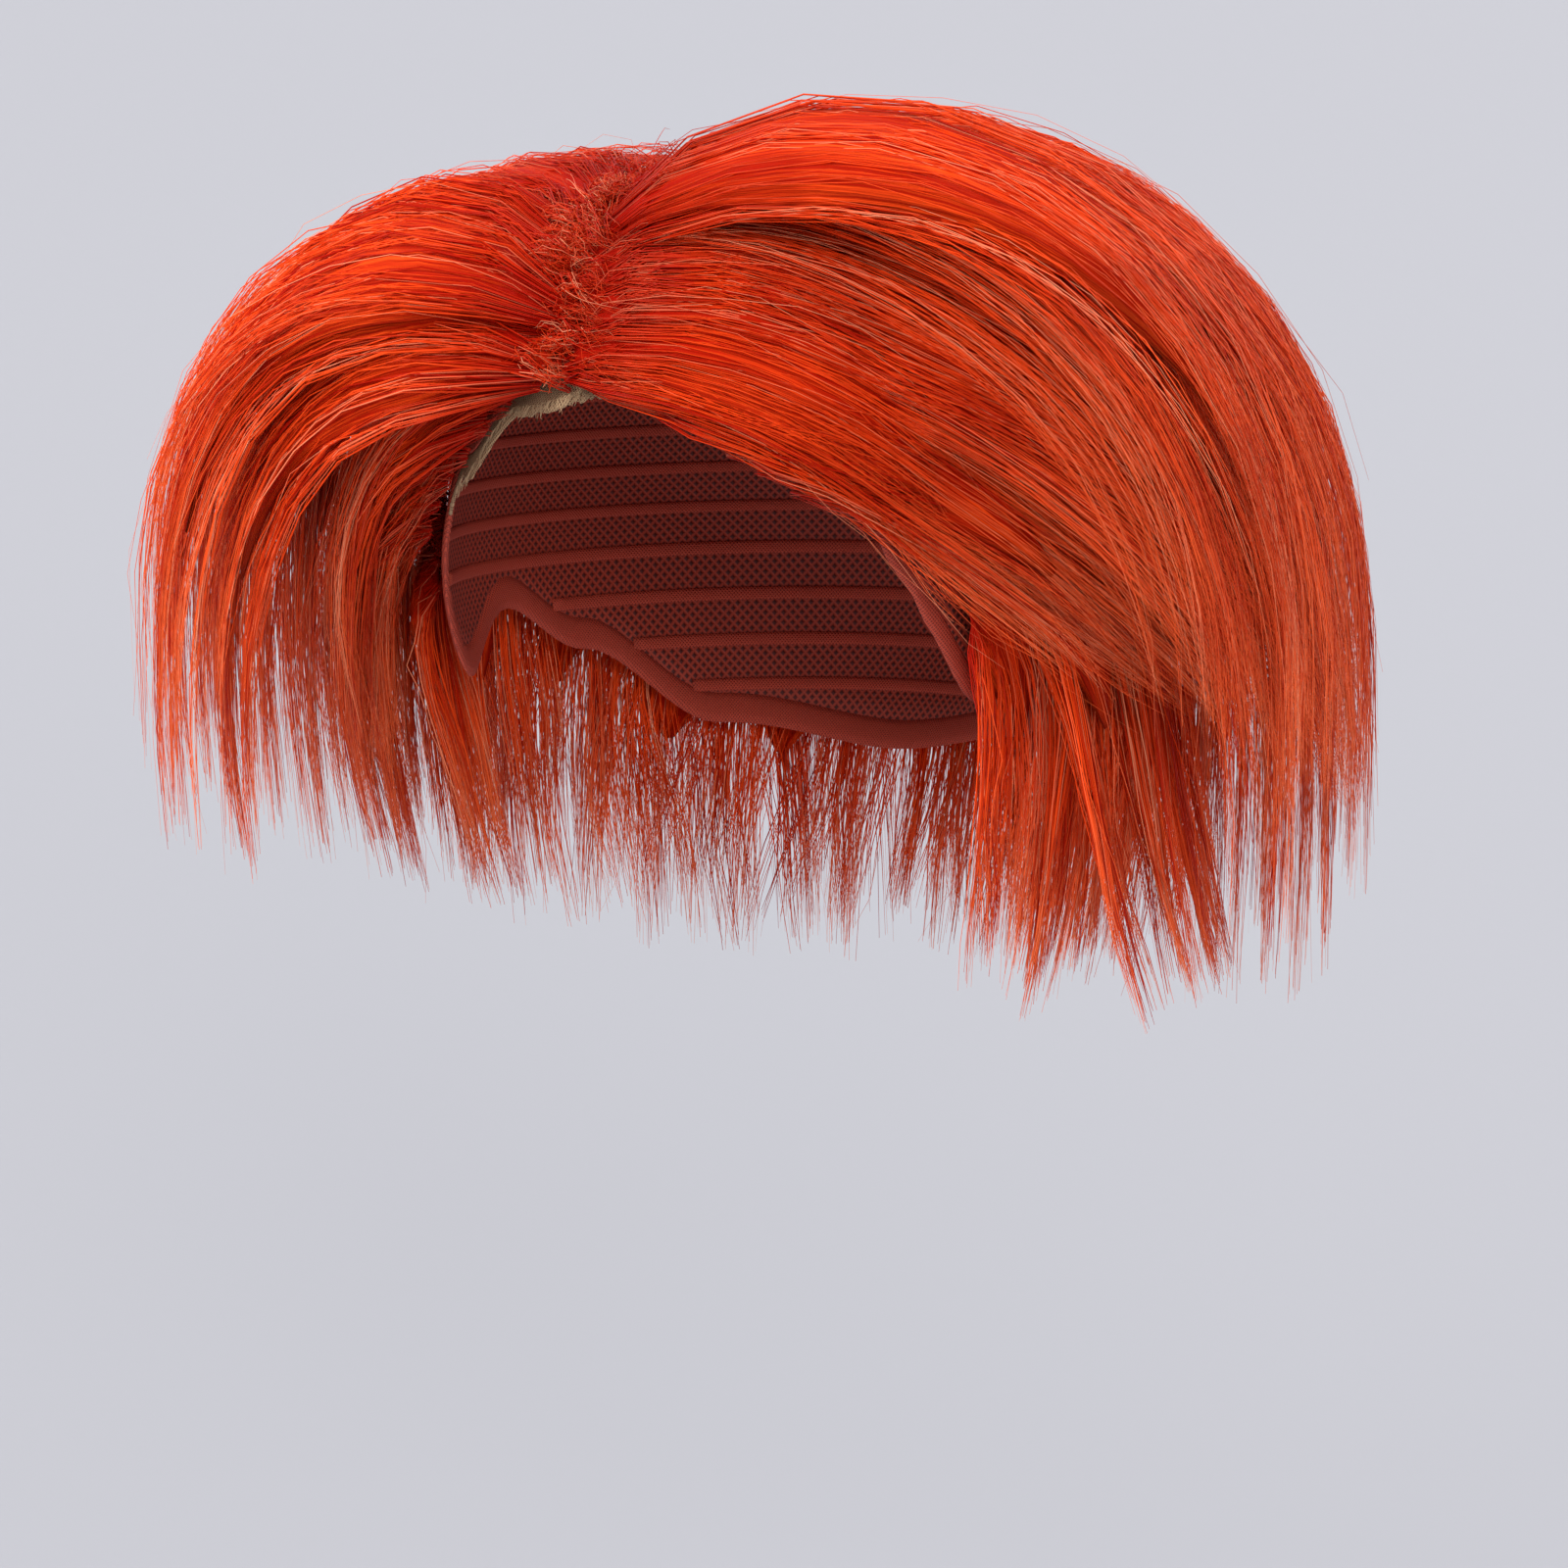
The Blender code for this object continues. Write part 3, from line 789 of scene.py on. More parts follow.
@dataclass(frozen=True)
class HairFinish(Finish):
    """Bright synthetic fibre, with painted shade at the roots, in patches and on the locks, and painted
    highlights on its palest fibres.

    Attributes:
        source: Where the tone is read from.
        colours: Its colours.
        roughness: Roughness of the fibre.
        shine: Strength of its shine.
        sheen: Colour of its shine.
        streaks: Streaks round a lock.
        pockets: Patches of painted shade to a metre.
        painted_shade_edge: Noise at which a patch of painted shade starts, and at which it is full.
        painted_shade_depth: How dark a patch of painted shade is.
        root_fade: Share of the length from which and to which the root brightens out of its painted shade.
        tip_fade: The same of the tip.
        dark_tones: Tone at which a fibre starts to darken, and at which it is darkest.
        dark: How dark that is.
        pale_tones: Tone at which a fibre starts to pale with its painted highlight, and at which it is
            palest.
        pale_run: Share of the length from which and to which that grows.
        pale_root: How pale it is at the root.
        pale_gain: How much paler it grows.
        relief: Height of the streaks of a lock.
    """

    source: Source
    colours: HairColours = HairColours()
    roughness: float = 0.36
    shine: float = 0.25
    sheen: Colour = (1.0, 0.50, 0.30, 1)
    streaks: float = 150.0
    pockets: float = 24.0
    painted_shade_edge: Pair = (0.52, 0.38)
    painted_shade_depth: float = 0.36
    root_fade: Pair = (-0.02, 0.30)
    tip_fade: Pair = (0.45, 1.0)
    dark_tones: Pair = (0.60, 0.10)
    dark: float = 0.92
    pale_tones: Pair = (0.62, 0.95)
    pale_run: Pair = (0.0, 0.4)
    pale_root: float = 0.3
    pale_gain: float = 0.6
    relief: float = 0.0016

    def surface(self, graph: Graph) -> dict[str, Input]:
        """Colours the hair from root to tip, with painted shade at the roots and in patches, darker fibres,
        and paler fibres that carry painted highlights.

        Args:
            graph: The material's graph.

        Returns:
            What each socket of the shader is fed with.
        """
        along, tone, height = self._read(graph)
        colours = self.colours
        # Painted shade at the root: the colour starts at the dark colour and brightens along the length.
        colour = graph.mixed(graph.eased(along, *self.root_fade), colours.deep, colours.middle)
        colour = graph.mixed(graph.eased(along, *self.tip_fade), colour, colours.tip)
        # Darker fibres, drawn at random, blend to the dark colour. The locks' tone stays low, so on them
        # this is painted shade under the fibres.
        colour = graph.mixed(graph.eased(tone, *self.dark_tones) * self.dark, colour, colours.deep)
        # Painted shade: patches of noise in object space darken the colour towards the dark colour.
        place = graph.node("ShaderNodeTexCoord").out("Object")
        patches = {"Vector": place, "Scale": self.pockets, "Detail": 1.0}
        painted_shade = graph.eased(graph.node("ShaderNodeTexNoise", patches).out("Fac"), *self.painted_shade_edge)
        colour = graph.mixed(painted_shade * self.painted_shade_depth, colour, colours.deep)
        # Painted highlight: fibres of a pale random tone blend to the glow colour, more so away from the
        # root.
        grown = graph.eased(along, *self.pale_run) * self.pale_gain + self.pale_root
        colour = graph.mixed(graph.eased(tone, *self.pale_tones) * grown, colour, colours.glow)
        fed = {"Base Color": colour, "Roughness": self.roughness}
        fed |= {"Specular IOR Level": self.shine, "Specular Tint": self.sheen}
        if height is not None:
            fed["Normal"] = graph.bumped(height, 1.0, self.relief)
        return fed

    def _read(self, graph: Graph) -> tuple[Wire, Wire, Optional[Wire]]:
        """Reads the place along the hair, its tone and a height.

        Args:
            graph: The material's graph.

        Returns:
            The share along the length, the tone and a height for the bump, if any.
        """
        if self.source is Source.FIBRE:
            along = graph.node("ShaderNodeAttribute", attribute_name="along").out("Fac")
            tone = graph.node("ShaderNodeAttribute", attribute_name="tone").out("Fac")
            return along, tone, None
        place = graph.node("ShaderNodeUVMap", uv_map="lock").out(0)
        fine = self._streak(graph, place, self.streaks, 4.0)
        broad = self._streak(graph, place, self.streaks / 7, 2.0)
        height = fine * 0.6 + broad * 0.4
        # Painted shade: the locks' tone is kept low and below the pale range, so they darken to the dark
        # colour under the fibres.
        return place.part("Y"), graph.eased(height, 0.36, 0.66) * 0.58, height

    @staticmethod
    def _streak(graph: Graph, place: Wire, round_count: float, along_count: float) -> Wire:
        """Draws streaks that run along a lock.

        Args:
            graph: The material's graph.
            place: Place on the lock's map.
            round_count: Streaks round the lock.
            along_count: Changes along it.

        Returns:
            The streaks, from 0 to 1.
        """
        stretched = graph.placed(place.part("X") * round_count, place.part("Y") * along_count, round_count)
        noise = {"Vector": stretched, "Scale": 1.0, "Detail": 3.0, "Roughness": 0.6, "Distortion": 0.4}
        return graph.node("ShaderNodeTexNoise", noise).out("Fac")


@dataclass(frozen=True)
class NetFinish(Finish):
    """Knitted net.

    Attributes:
        thread: Colour of the thread.
        hole: Colour between the threads.
        mesh: Size of a hole.
        roughness: Roughness of the thread.
        edge: Height at which a thread starts, and at which it is full.
        relief: Height of the thread.
    """

    thread: Colour
    hole: Colour
    mesh: float
    roughness: float = 0.7
    edge: Pair = (0.35, 0.9)
    relief: float = 0.0004

    def surface(self, graph: Graph) -> dict[str, Input]:
        """Knits threads that cross on the slant.

        Args:
            graph: The material's graph.

        Returns:
            What each socket of the shader is fed with.
        """
        place = graph.node("ShaderNodeUVMap", uv_map="net").out(0)
        turn = pi / self.mesh
        warp = ((place.part("X") + place.part("Y")) * turn).sine()
        weft = ((place.part("X") - place.part("Y")) * turn).sine()
        height = (warp * warp).most(weft * weft)
        colour = graph.mixed(graph.eased(height, *self.edge), self.hole, self.thread)
        relief = graph.bumped(height, 0.7, self.relief)
        return {"Base Color": colour, "Normal": relief, "Roughness": self.roughness}


@dataclass(frozen=True)
class PlainFinish(Finish):
    """One plain colour.

    Attributes:
        colour: Its colour.
        roughness: Its roughness.
    """

    colour: Colour
    roughness: float = 0.8

    def surface(self, graph: Graph) -> dict[str, Input]:
        """Gives its colour and roughness, with no further nodes in the graph."""
        return {"Base Color": self.colour, "Roughness": self.roughness}


def linked(name: str, data: bpy.types.ID) -> bpy.types.Object:
    """Puts a mesh, a light or a camera into the scene.

    Args:
        name: Name of the object.
        data: Its mesh, light or camera.

    Returns:
        The object.
    """
    made = bpy.data.objects.new(name, data)
    bpy.context.scene.collection.objects.link(made)
    return made


@dataclass(frozen=True)
class FibreSizes:
    """How the fibres of a piece are laid.

    Attributes:
        per_lock: Fibres to a lock.
        wisp: Fibres to a wisp.
        wrap: Share of the way round a lock that has fibres, outer side first.
        spread: Share of the lock's section that the wisps fill.
        open: How far fibres lie from their wisp at the root, as a share of the section.
        closed: The same at the tip.
        ragged: Share of the length by which the shortest are cut.
        frizz: How far fibres stray at the tip.
        crimp: How far fibres waver all along.
        radius: Radius of a fibre.
        glow: Share by which fibres are paler, towards the painted highlight of the palest fibres.
        segments: Straight pieces of a fibre.
        seed: Seed of what varies.
    """

    per_lock: int
    wisp: int = 11
    wrap: float = 0.66
    spread: float = 1.0
    open: float = 0.30
    closed: float = 0.12
    ragged: float = 0.34
    frizz: float = 0.006
    crimp: float = 0.0006
    radius: float = 0.00016
    glow: float = 0.0
    segments: int = 9
    seed: int = 1


@dataclass(frozen=True)
class FibreHabit:
    """What fibres have in common in every piece.

    Attributes:
        twist: Most that a wisp turns round its lock by the tip, in radians.
        ring: Square of a wisp's distance from the middle of its lock, least and most.
        wisp_sway: Most that a wisp swings aside by the tip, as a share of the section.
        fibre_sway: The same of a fibre in its wisp.
        bends: Slow bends in a length.
        stray_shares: Shares of the stray that follow the wisp and the fibre.
        wavers: Fine wavers in a length.
        cut_shares: Shares of the cut that follow the wisp and the fibre.
        cut_power: Power that makes short fibres fewer.
        tone_shares: Shares of the tone that follow the wisp, the fibre and its fineness.
        contrast: How far tones are spread about their middle.
        thickest: Radius of the thickest fibre, as a share of the usual one.
        finer: How much of that the finest lacks.
        point: How much of its radius a fibre lacks at the tip.
        drift_step: Distance in the noise between a fibre and the next.
    """

    twist: float = 1.6
    ring: Pair = (0.56, 1.08)
    wisp_sway: float = 0.45
    fibre_sway: float = 0.2
    bends: float = 2.2
    stray_shares: Pair = (0.75, 0.4)
    wavers: float = 9.0
    cut_shares: Pair = (0.65, 0.35)
    cut_power: float = 1.5
    tone_shares: Triple = (0.35, 0.35, 0.3)
    contrast: float = 1.25
    thickest: float = 1.7
    finer: float = 1.1
    point: float = 0.75
    drift_step: float = 0.731


class Draw(Enum):
    """The random draws of a fibre or a wisp, each with the number that sets it apart."""

    TURN = 1
    TWIST = 2
    RING = 3
    ASIDE = 4
    ABOVE = 5
    WISP_CUT = 6
    FIBRE_CUT = 7
    WISP_TONE = 8
    FIBRE_TONE = 9
    FINENESS = 10
    WISP_SWAY = 11
    FIBRE_SWAY = 12


class FibreTree:
    """A geometry tree that lays fibres over guides.

    The order of its sums matters: rounding in a point's place changes a few of the draws.
    """

    SOCKETS = {field.name.replace("_", " ").title(): field for field in fields(FibreSizes)}
    LOCK_NUMBERS = 4096
    FIRST_WISP = 2048

    def __init__(self, habit: FibreHabit = FibreHabit()) -> None:
        """Builds the tree, with an input for each size of the fibres.

        Args:
            habit: What fibres have in common.
        """
        self.habit = habit
        self.tree = bpy.data.node_groups.new("fibres", "GeometryNodeTree")
        face = self.tree.interface
        face.new_socket("Geometry", in_out="INPUT", socket_type="NodeSocketGeometry")
        for label, field in self.SOCKETS.items():
            kind = "NodeSocketInt" if field.type is int else "NodeSocketFloat"
            face.new_socket(label, in_out="INPUT", socket_type=kind)
        face.new_socket("Material", in_out="INPUT", socket_type="NodeSocketMaterial")
        face.new_socket("Geometry", in_out="OUTPUT", socket_type="NodeSocketGeometry")
        self.graph = Graph(self.tree)
        self.given = self.graph.node("NodeGroupInput")
        self._build()

    def _build(self) -> None:
        """Builds every node, from the guides to the finished mesh."""
        graph = self.graph
        given = self.given
        curve = graph.node("GeometryNodeMeshToCurve", {0: given.out("Geometry")}).out(0)
        inputs = {"Geometry": curve, "Amount": given.out("Per Lock")}
        copies = graph.node("GeometryNodeDuplicateElements", inputs, domain="SPLINE")
        number = copies.out("Duplicate Index")
        lock = self._named("lock", "FLOAT") * self.LOCK_NUMBERS
        self.fibre = lock + number
        self.wisp = lock + (number / given.out("Wisp")).floored() + self.FIRST_WISP
        self.along = graph.node("GeometryNodeSplineParameter").out("Factor")
        self.fineness = self._random(Draw.FINENESS, self.fibre)
        offset = self._section() + self._stray() + self._waver()
        shaped = self._moved(copies.out("Geometry"), "Offset", offset)
        clear = self._moved(self._trimmed(shaped), "Position", self._clear())
        toned = self._stored(clear, "tone", self._tone())
        mesh = self._swept(self._stored(toned, "along", self.along))
        real = graph.node("GeometryNodeRealizeInstances", {"Geometry": mesh}).out(0)
        inputs = {"Geometry": real, "Material": given.out("Material")}
        done = graph.node("GeometryNodeSetMaterial", inputs).out(0)
        graph.node("NodeGroupOutput", {"Geometry": done})

    def _random(self, draw: Draw, ident: Wire, low: float = 0.0, high: float = 1.0) -> Wire:
        """Draws a number for each fibre or wisp.

        Args:
            draw: Which of the draws it is.
            ident: Number of the fibre or wisp.
            low: Least value.
            high: Greatest value.

        Returns:
            The draw.
        """
        seed = self.given.out("Seed") * 31 + draw.value
        inputs = {"Min": low, "Max": high, "ID": ident, "Seed": seed}
        return self.graph.node("FunctionNodeRandomValue", inputs, data_type="FLOAT").out(0)

    def _named(self, name: str, kind: str) -> Wire:
        """Reads a value that the guides carry, by its name and data type."""
        made = self.graph.node("GeometryNodeInputNamedAttribute", {"Name": name}, data_type=kind)
        return made.out("Attribute")

    def _moved(self, curve: Wire, socket: str, value: Wire) -> Wire:
        """Moves the fibres, by an Offset or to a Position."""
        return self.graph.node("GeometryNodeSetPosition", {"Geometry": curve, socket: value}).out(0)

    def _section(self) -> Wire:
        """Spreads wisps over the section of their lock, and fibres about their wisp.

        Returns:
            How far each point lies from its guide.
        """
        habit = self.habit
        given = self.given
        along = self.along
        turn = self._random(Draw.TURN, self.wisp, -pi, pi) * given.out("Wrap") + pi / 2
        turn = turn + self._random(Draw.TWIST, self.wisp, -habit.twist, habit.twist) * along
        ring = self._random(Draw.RING, self.wisp, *habit.ring) ** 0.5 * given.out("Spread")
        sway = self._random(Draw.WISP_SWAY, self.wisp, -habit.wisp_sway, habit.wisp_sway)
        sway = sway + self._random(Draw.FIBRE_SWAY, self.fibre, -habit.fibre_sway, habit.fibre_sway)
        apart = given.out("Open") * (1 - along) + given.out("Closed") * along
        aside = turn.cosine() * ring + self._random(Draw.ASIDE, self.fibre, -1, 1) * apart + sway * along
        above = turn.sine() * ring + self._random(Draw.ABOVE, self.fibre, -1, 1) * apart
        side = self._named("across", "FLOAT_VECTOR") * (aside * self._named("half_width", "FLOAT"))
        lift = self._named("outward", "FLOAT_VECTOR") * (above * self._named("half_thick", "FLOAT"))
        return side + lift

    def _stray(self) -> Wire:
        """Lets fibres stray towards the tip.

        Returns:
            How far each point is moved.
        """
        habit = self.habit
        of_wisp, of_fibre = habit.stray_shares
        run = self.along * habit.bends
        stray = self._drift(run, self.wisp) * of_wisp + self._drift(run, self.fibre) * of_fibre
        return stray * (self.along * self.given.out("Frizz") * 2)

    def _waver(self) -> Wire:
        """Lets fibres waver all along."""
        return self._drift(self.along * self.habit.wavers, self.fibre) * (self.given.out("Crimp") * 2)

    def _trimmed(self, curve: Wire) -> Wire:
        """Cuts fibres to their lengths and divides them evenly.

        Args:
            curve: The fibres.

        Returns:
            The fibres, cut.
        """
        habit = self.habit
        of_wisp, of_fibre = habit.cut_shares
        cut = self._random(Draw.WISP_CUT, self.wisp) * of_wisp
        cut = (cut + self._random(Draw.FIBRE_CUT, self.fibre) * of_fibre) ** habit.cut_power
        inputs = {"Curve": curve, "End": 1 - cut * self.given.out("Ragged")}
        cut_short = self.graph.node("GeometryNodeTrimCurve", inputs, mode="FACTOR").out(0)
        inputs = {"Curve": cut_short, "Count": self.given.out("Segments") + 1}
        return self.graph.node("GeometryNodeResampleCurve", inputs).out(0)

    def _tone(self) -> Wire:
        """Gives each fibre a tone, paler where it is fine.

        Returns:
            The tone, from dark to pale.
        """
        habit = self.habit
        of_wisp, of_fibre, of_fineness = habit.tone_shares
        tone = self._random(Draw.WISP_TONE, self.wisp) * of_wisp
        tone = tone + self._random(Draw.FIBRE_TONE, self.fibre) * of_fibre + self.fineness * of_fineness
        tone = tone * habit.contrast - (habit.contrast - 1) / 2
        # Glow raises the tone towards the palest fibres, which carry a painted highlight.
        return tone + (1 - tone) * self.given.out("Glow")

    def _swept(self, curve: Wire) -> Wire:
        """Gives the fibres a body, which thins out to the tip.

        Args:
            curve: The fibres.

        Returns:
            Their mesh.
        """
        habit = self.habit
        slim = (habit.thickest - habit.finer * self.fineness) * self.given.out("Radius")
        slim = slim * (1 - habit.point * self.along**3.0)
        profile = self.graph.node("GeometryNodeCurvePrimitiveCircle", {"Resolution": 3, "Radius": 1.0})
        inputs = {"Curve": curve, "Profile Curve": profile.out(0), "Scale": slim, "Fill Caps": True}
        mesh = self.graph.node("GeometryNodeCurveToMesh", inputs).out(0)
        smooth = {"Geometry": mesh, "Shade Smooth": True}
        return self.graph.node("GeometryNodeSetShadeSmooth", smooth).out(0)

    def _drift(self, run: Wire, fibre: Wire) -> Wire:
        """Gives a direction that wanders along each fibre in its own way.

        Args:
            run: Distance along the fibre, in bends.
            fibre: Number of the fibre.

        Returns:
            The direction, of up to about half a unit.
        """
        place = self.graph.placed(run, fibre * self.habit.drift_step, self.given.out("Seed") * 1.0)
        noise = {"Vector": place, "Scale": 1.0, "Detail": 1.0}
        return self.graph.node("ShaderNodeTexNoise", noise).out("Color") - (0.5, 0.5, 0.5)

    def _clear(self) -> Wire:
        """Keeps fibres out of the head.

        Returns:
            Where each point may be.
        """
        graph = self.graph
        out = CAP.wall + CAP.gap
        place = graph.node("GeometryNodeInputPosition").out(0)
        centre = (0, 0, -HEAD.upper)
        arm = place - centre
        below = graph.eased(arm.part("Z"), 0.0001, -0.0001)
        tall = HEAD.upper + out + below * (HEAD.lower - HEAD.upper)
        size = graph.placed(HEAD.half_width + out, HEAD.half_depth + out, tall)
        return arm / (arm / size).length().least(1.0).most(0.05) + centre

    def _stored(self, curve: Wire, name: str, value: Wire) -> Wire:
        """Stores a number on each point.

        Args:
            curve: The fibres.
            name: Name of the number.
            value: The number.

        Returns:
            The fibres with the number.
        """
        inputs = {"Geometry": curve, "Name": name, "Value": value}
        kind = "GeometryNodeStoreNamedAttribute"
        return self.graph.node(kind, inputs, data_type="FLOAT", domain="POINT").out(0)

    def lay(
        self, name: str, guides: list[Guide], sizes: FibreSizes, finish: bpy.types.Material
    ) -> bpy.types.Object:
        """Lays fibres over guides and turns them into a plain mesh.

        Args:
            name: Name of the finished object.
            guides: The guides.
            sizes: How the fibres are laid.
            finish: Their material.

        Returns:
            The finished object.
        """
        carrier = linked(name + "_guides", self._guide_mesh(name, guides))
        step = carrier.modifiers.new("fibres", "NODES")
        step.node_group = self.tree
        values = {label: getattr(sizes, field.name) for label, field in self.SOCKETS.items()}
        values["Material"] = finish
        for item in self.tree.interface.items_tree:
            if item.in_out == "INPUT" and item.name in values:
                step[item.identifier] = values[item.name]
        view = bpy.context.evaluated_depsgraph_get()
        view.update()
        mesh = bpy.data.meshes.new_from_object(carrier.evaluated_get(view), depsgraph=view)
        carrier.modifiers.remove(step)
        bpy.data.objects.remove(carrier)
        mesh.name = name
        return linked(name, mesh)

    @staticmethod
    def _guide_mesh(name: str, guides: list[Guide]) -> bpy.types.Mesh:
        """Makes the guides into a mesh of edges that carries their frames.

        Args:
            name: Name of the mesh.
            guides: The guides.

        Returns:
            The mesh.
        """
        points = [tuple(p) for guide in guides for p in guide.points]
        edges = []
        start = 0
        for guide in guides:
            count = len(guide.points)
            edges += [(start + i, start + i + 1) for i in range(count - 1)]
            start += count
        mesh = bpy.data.meshes.new(name + "_guides")
        mesh.from_pydata(points, edges, [])
        for field in ("across", "outward"):
            store = mesh.attributes.new(field, "FLOAT_VECTOR", "POINT")
            flat = [c for guide in guides for v in getattr(guide, field) for c in v]
            store.data.foreach_set("vector", flat)
        for field in ("half_width", "half_thick"):
            store = mesh.attributes.new(field, "FLOAT", "POINT")
            store.data.foreach_set("value", [v for guide in guides for v in getattr(guide, field)])
        store = mesh.attributes.new("lock", "FLOAT", "POINT")
        store.data.foreach_set("value", [float(i) for i, guide in enumerate(guides) for _ in guide.points])
        return mesh


@dataclass(frozen=True)
class LockSizes:
    """The solid locks that lie under the fibres.

    Attributes:
        sides: Sides of the section.
        ridges: Ridges round the section, coarse to fine.
        depth: Depth of a ridge, as a share of the section.
        fill: Share of the lock's section that they fill.
        root: Share of that which they fill at the root.
        root_run: Share of the length after which they fill all of it.
        closes: Share of the length from which they narrow.
        ends: Share of the length at which they end.
        narrowing: How much narrower they are where they end.
        narrowing_power: Power that makes them narrow late.
        ridge_turn: Turn of the ridges from one lock to the next, in radians.
        ridge_twist: Turn of the ridges from one point of a lock to the next, in radians.
        map_turn: Turn of the map from one lock to the next, in sides.
    """

    sides: int = 26
    ridges: tuple[int, ...] = (5, 9, 13)
    depth: float = 0.055
    fill: float = 0.84
    root: float = 0.62
    root_run: float = 0.22
    closes: float = 0.35
    ends: float = 0.76
    narrowing: float = 0.92
    narrowing_power: float = 1.5
    ridge_turn: float = 1.7
    ridge_twist: float = 0.03
    map_turn: float = 0.37


class SurfaceMaker:
    """Makes meshes of plain grids, with a map for their finish."""

    @staticmethod
    def mesh(
        name: str, vertices: Sequence, faces: Sequence, places: Sequence[Pair], layer: str
    ) -> bpy.types.Mesh:
        """Makes a mesh with one map.

        Args:
            name: Name of the mesh.
            vertices: Its corners.
            faces: Corner numbers of each face.
            places: Place on the map for each corner of each face, in order.
            layer: Name of the map.

        Returns:
            The mesh.
        """
        mesh = bpy.data.meshes.new(name)
        mesh.from_pydata([tuple(v) for v in vertices], [], faces)
        store = mesh.uv_layers.new(name=layer)
        store.data.foreach_set("uv", [c for place in places for c in place])
        mesh.polygons.foreach_set("use_smooth", [True] * len(mesh.polygons))
        mesh.update()
        return mesh


class LockMaker:
    """Makes the solid locks under the fibres of one piece."""

    def __init__(self, sizes: LockSizes) -> None:
        """Starts the maker with the sizes of its locks."""
        self.sizes = sizes

    def make(self, name: str, guides: list[Guide], finish: bpy.types.Material) -> bpy.types.Object:
        """Makes one mesh of all the locks.

        Args:
            name: Name of the object.
            guides: The guides of the locks.
            finish: Their material.

        Returns:
            The object.
        """
        vertices: list[Vector] = []
        faces: list[tuple[int, ...]] = []
        places: list[Pair] = []
        for number, guide in enumerate(guides):
            self._add(number, guide, vertices, faces, places)
        mesh = SurfaceMaker.mesh(name, vertices, faces, places, "lock")
        mesh.materials.append(finish)
        return linked(name, mesh)

    def _add(self, number: int, guide: Guide, vertices: list, faces: list, places: list) -> None:
        """Adds one lock.

        Args:
            number: Number of the lock in its piece.
            guide: Its guide.
            vertices: Corners so far.
            faces: Faces so far.
            places: Places on the map so far.
        """
        sizes = self.sizes
        sides = sizes.sides
        start = len(vertices)
        last = len(guide.points) - 1
        used = max(2, round(last * sizes.ends))
        narrow_from = round(last * sizes.closes)
        for i in range(used + 1):
            closing = max(0, (i - narrow_from) / (used - narrow_from))
            fill = sizes.fill * (1 - sizes.narrowing * closing**sizes.narrowing_power)
            fill *= between(sizes.root, 1, min(1, i / (last * sizes.root_run)))
            depth = sizes.depth * (1 + closing)
            for k in range(sides):
                angle = 2 * pi * k / sides
                wave = 0
                for n in sizes.ridges:
                    wave += cos(n * angle + n * number * sizes.ridge_turn + i * sizes.ridge_twist * n)
                size = fill * (1 + depth * wave)
                aside = guide.across[i] * (cos(angle) * guide.half_width[i] * size)
                above = guide.outward[i] * (sin(angle) * guide.half_thick[i] * size)
                vertices.append(guide.points[i] + aside + above)
        for i in range(used):
            for k in range(sides):
                m = (k + 1) % sides
                low = start + i * sides
                faces.append((low + k, low + sides + k, low + sides + m, low + m))
                left, right = ((c + number * sizes.map_turn) / sides for c in (k, k + 1))
                near, far = i / last, (i + 1) / last
                places += [(left, near), (left, far), (right, far), (right, near)]
        for i, turn in ((0, 1), (used, -1)):
            faces.append(tuple(start + i * sides + k for k in range(sides))[::turn])
            places += [(k / sides, i / last) for k in range(sides)]


class Piece:
    """A sub-assembly: finished parts, each in the place of a CAD node."""

    def __init__(self) -> None:
        """Starts without parts."""
        self.parts: list[bpy.types.Object] = []
        self.roles: list[tuple[str, str]] = []

    def keep(self, part: bpy.types.Object, node: str, slot: str) -> None:
        """Keeps a finished part with the CAD node that it stands for and its slot."""
        self.parts.append(part)
        self.roles.append((node, slot))

    def dress(self) -> None:
        """Puts each part in the place of its CAD node."""
        for part, (node, slot) in zip(self.parts, self.roles):
            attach(part, "root")
            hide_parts(node)


@dataclass(frozen=True)
class HairSizes:
    """Everything that one piece of hair is laid by.

    Attributes:
        piece: Name of the piece and of the CAD node that it stands for.
        fibres: How the fibres of its locks are laid.
        wisps: How the fibres of its thin loose locks are laid.
        flyaways: How its stray fibres are laid.
        locks: The locks under them.
    """

    piece: str
    fibres: FibreSizes
    wisps: FibreSizes
    flyaways: FibreSizes
    locks: LockSizes = LockSizes()


class HairPiece(Piece):
    """One piece of hair: locks, the fibres over them, loose thin locks and stray fibres."""

    def __init__(self, sizes: HairSizes, tree: FibreTree) -> None:
        """Starts the piece.

        Args:
            sizes: Its sizes.
            tree: The tree that lays fibres.
        """
        super().__init__()
        self.sizes = sizes
        self.tree = tree
        maker = GuideMaker(sizes.piece)
        self.guides = maker.make(WEFTS[sizes.piece])
        self.loose = maker.make(WISPS.get(sizes.piece, ()))

    def build(self, fibre: bpy.types.Material, lock: bpy.types.Material) -> None:
        """Builds the locks and the fibres.

        Args:
            fibre: Material of the fibres.
            lock: Material of the locks.
        """
        sizes = self.sizes
        name = sizes.piece
        self.keep(LockMaker(sizes.locks).make(name + "_locks", self.guides, lock), name, "hair")
        layers = (
            ("_fibres", self.guides, sizes.fibres),
            ("_wisps", self.loose, sizes.wisps),
            ("_flyaways", self.guides + self.loose, sizes.flyaways),
        )
        for ending, guides, laid in layers:
            self.keep(self.tree.lay(name + ending, guides, laid, fibre), name, "hair")


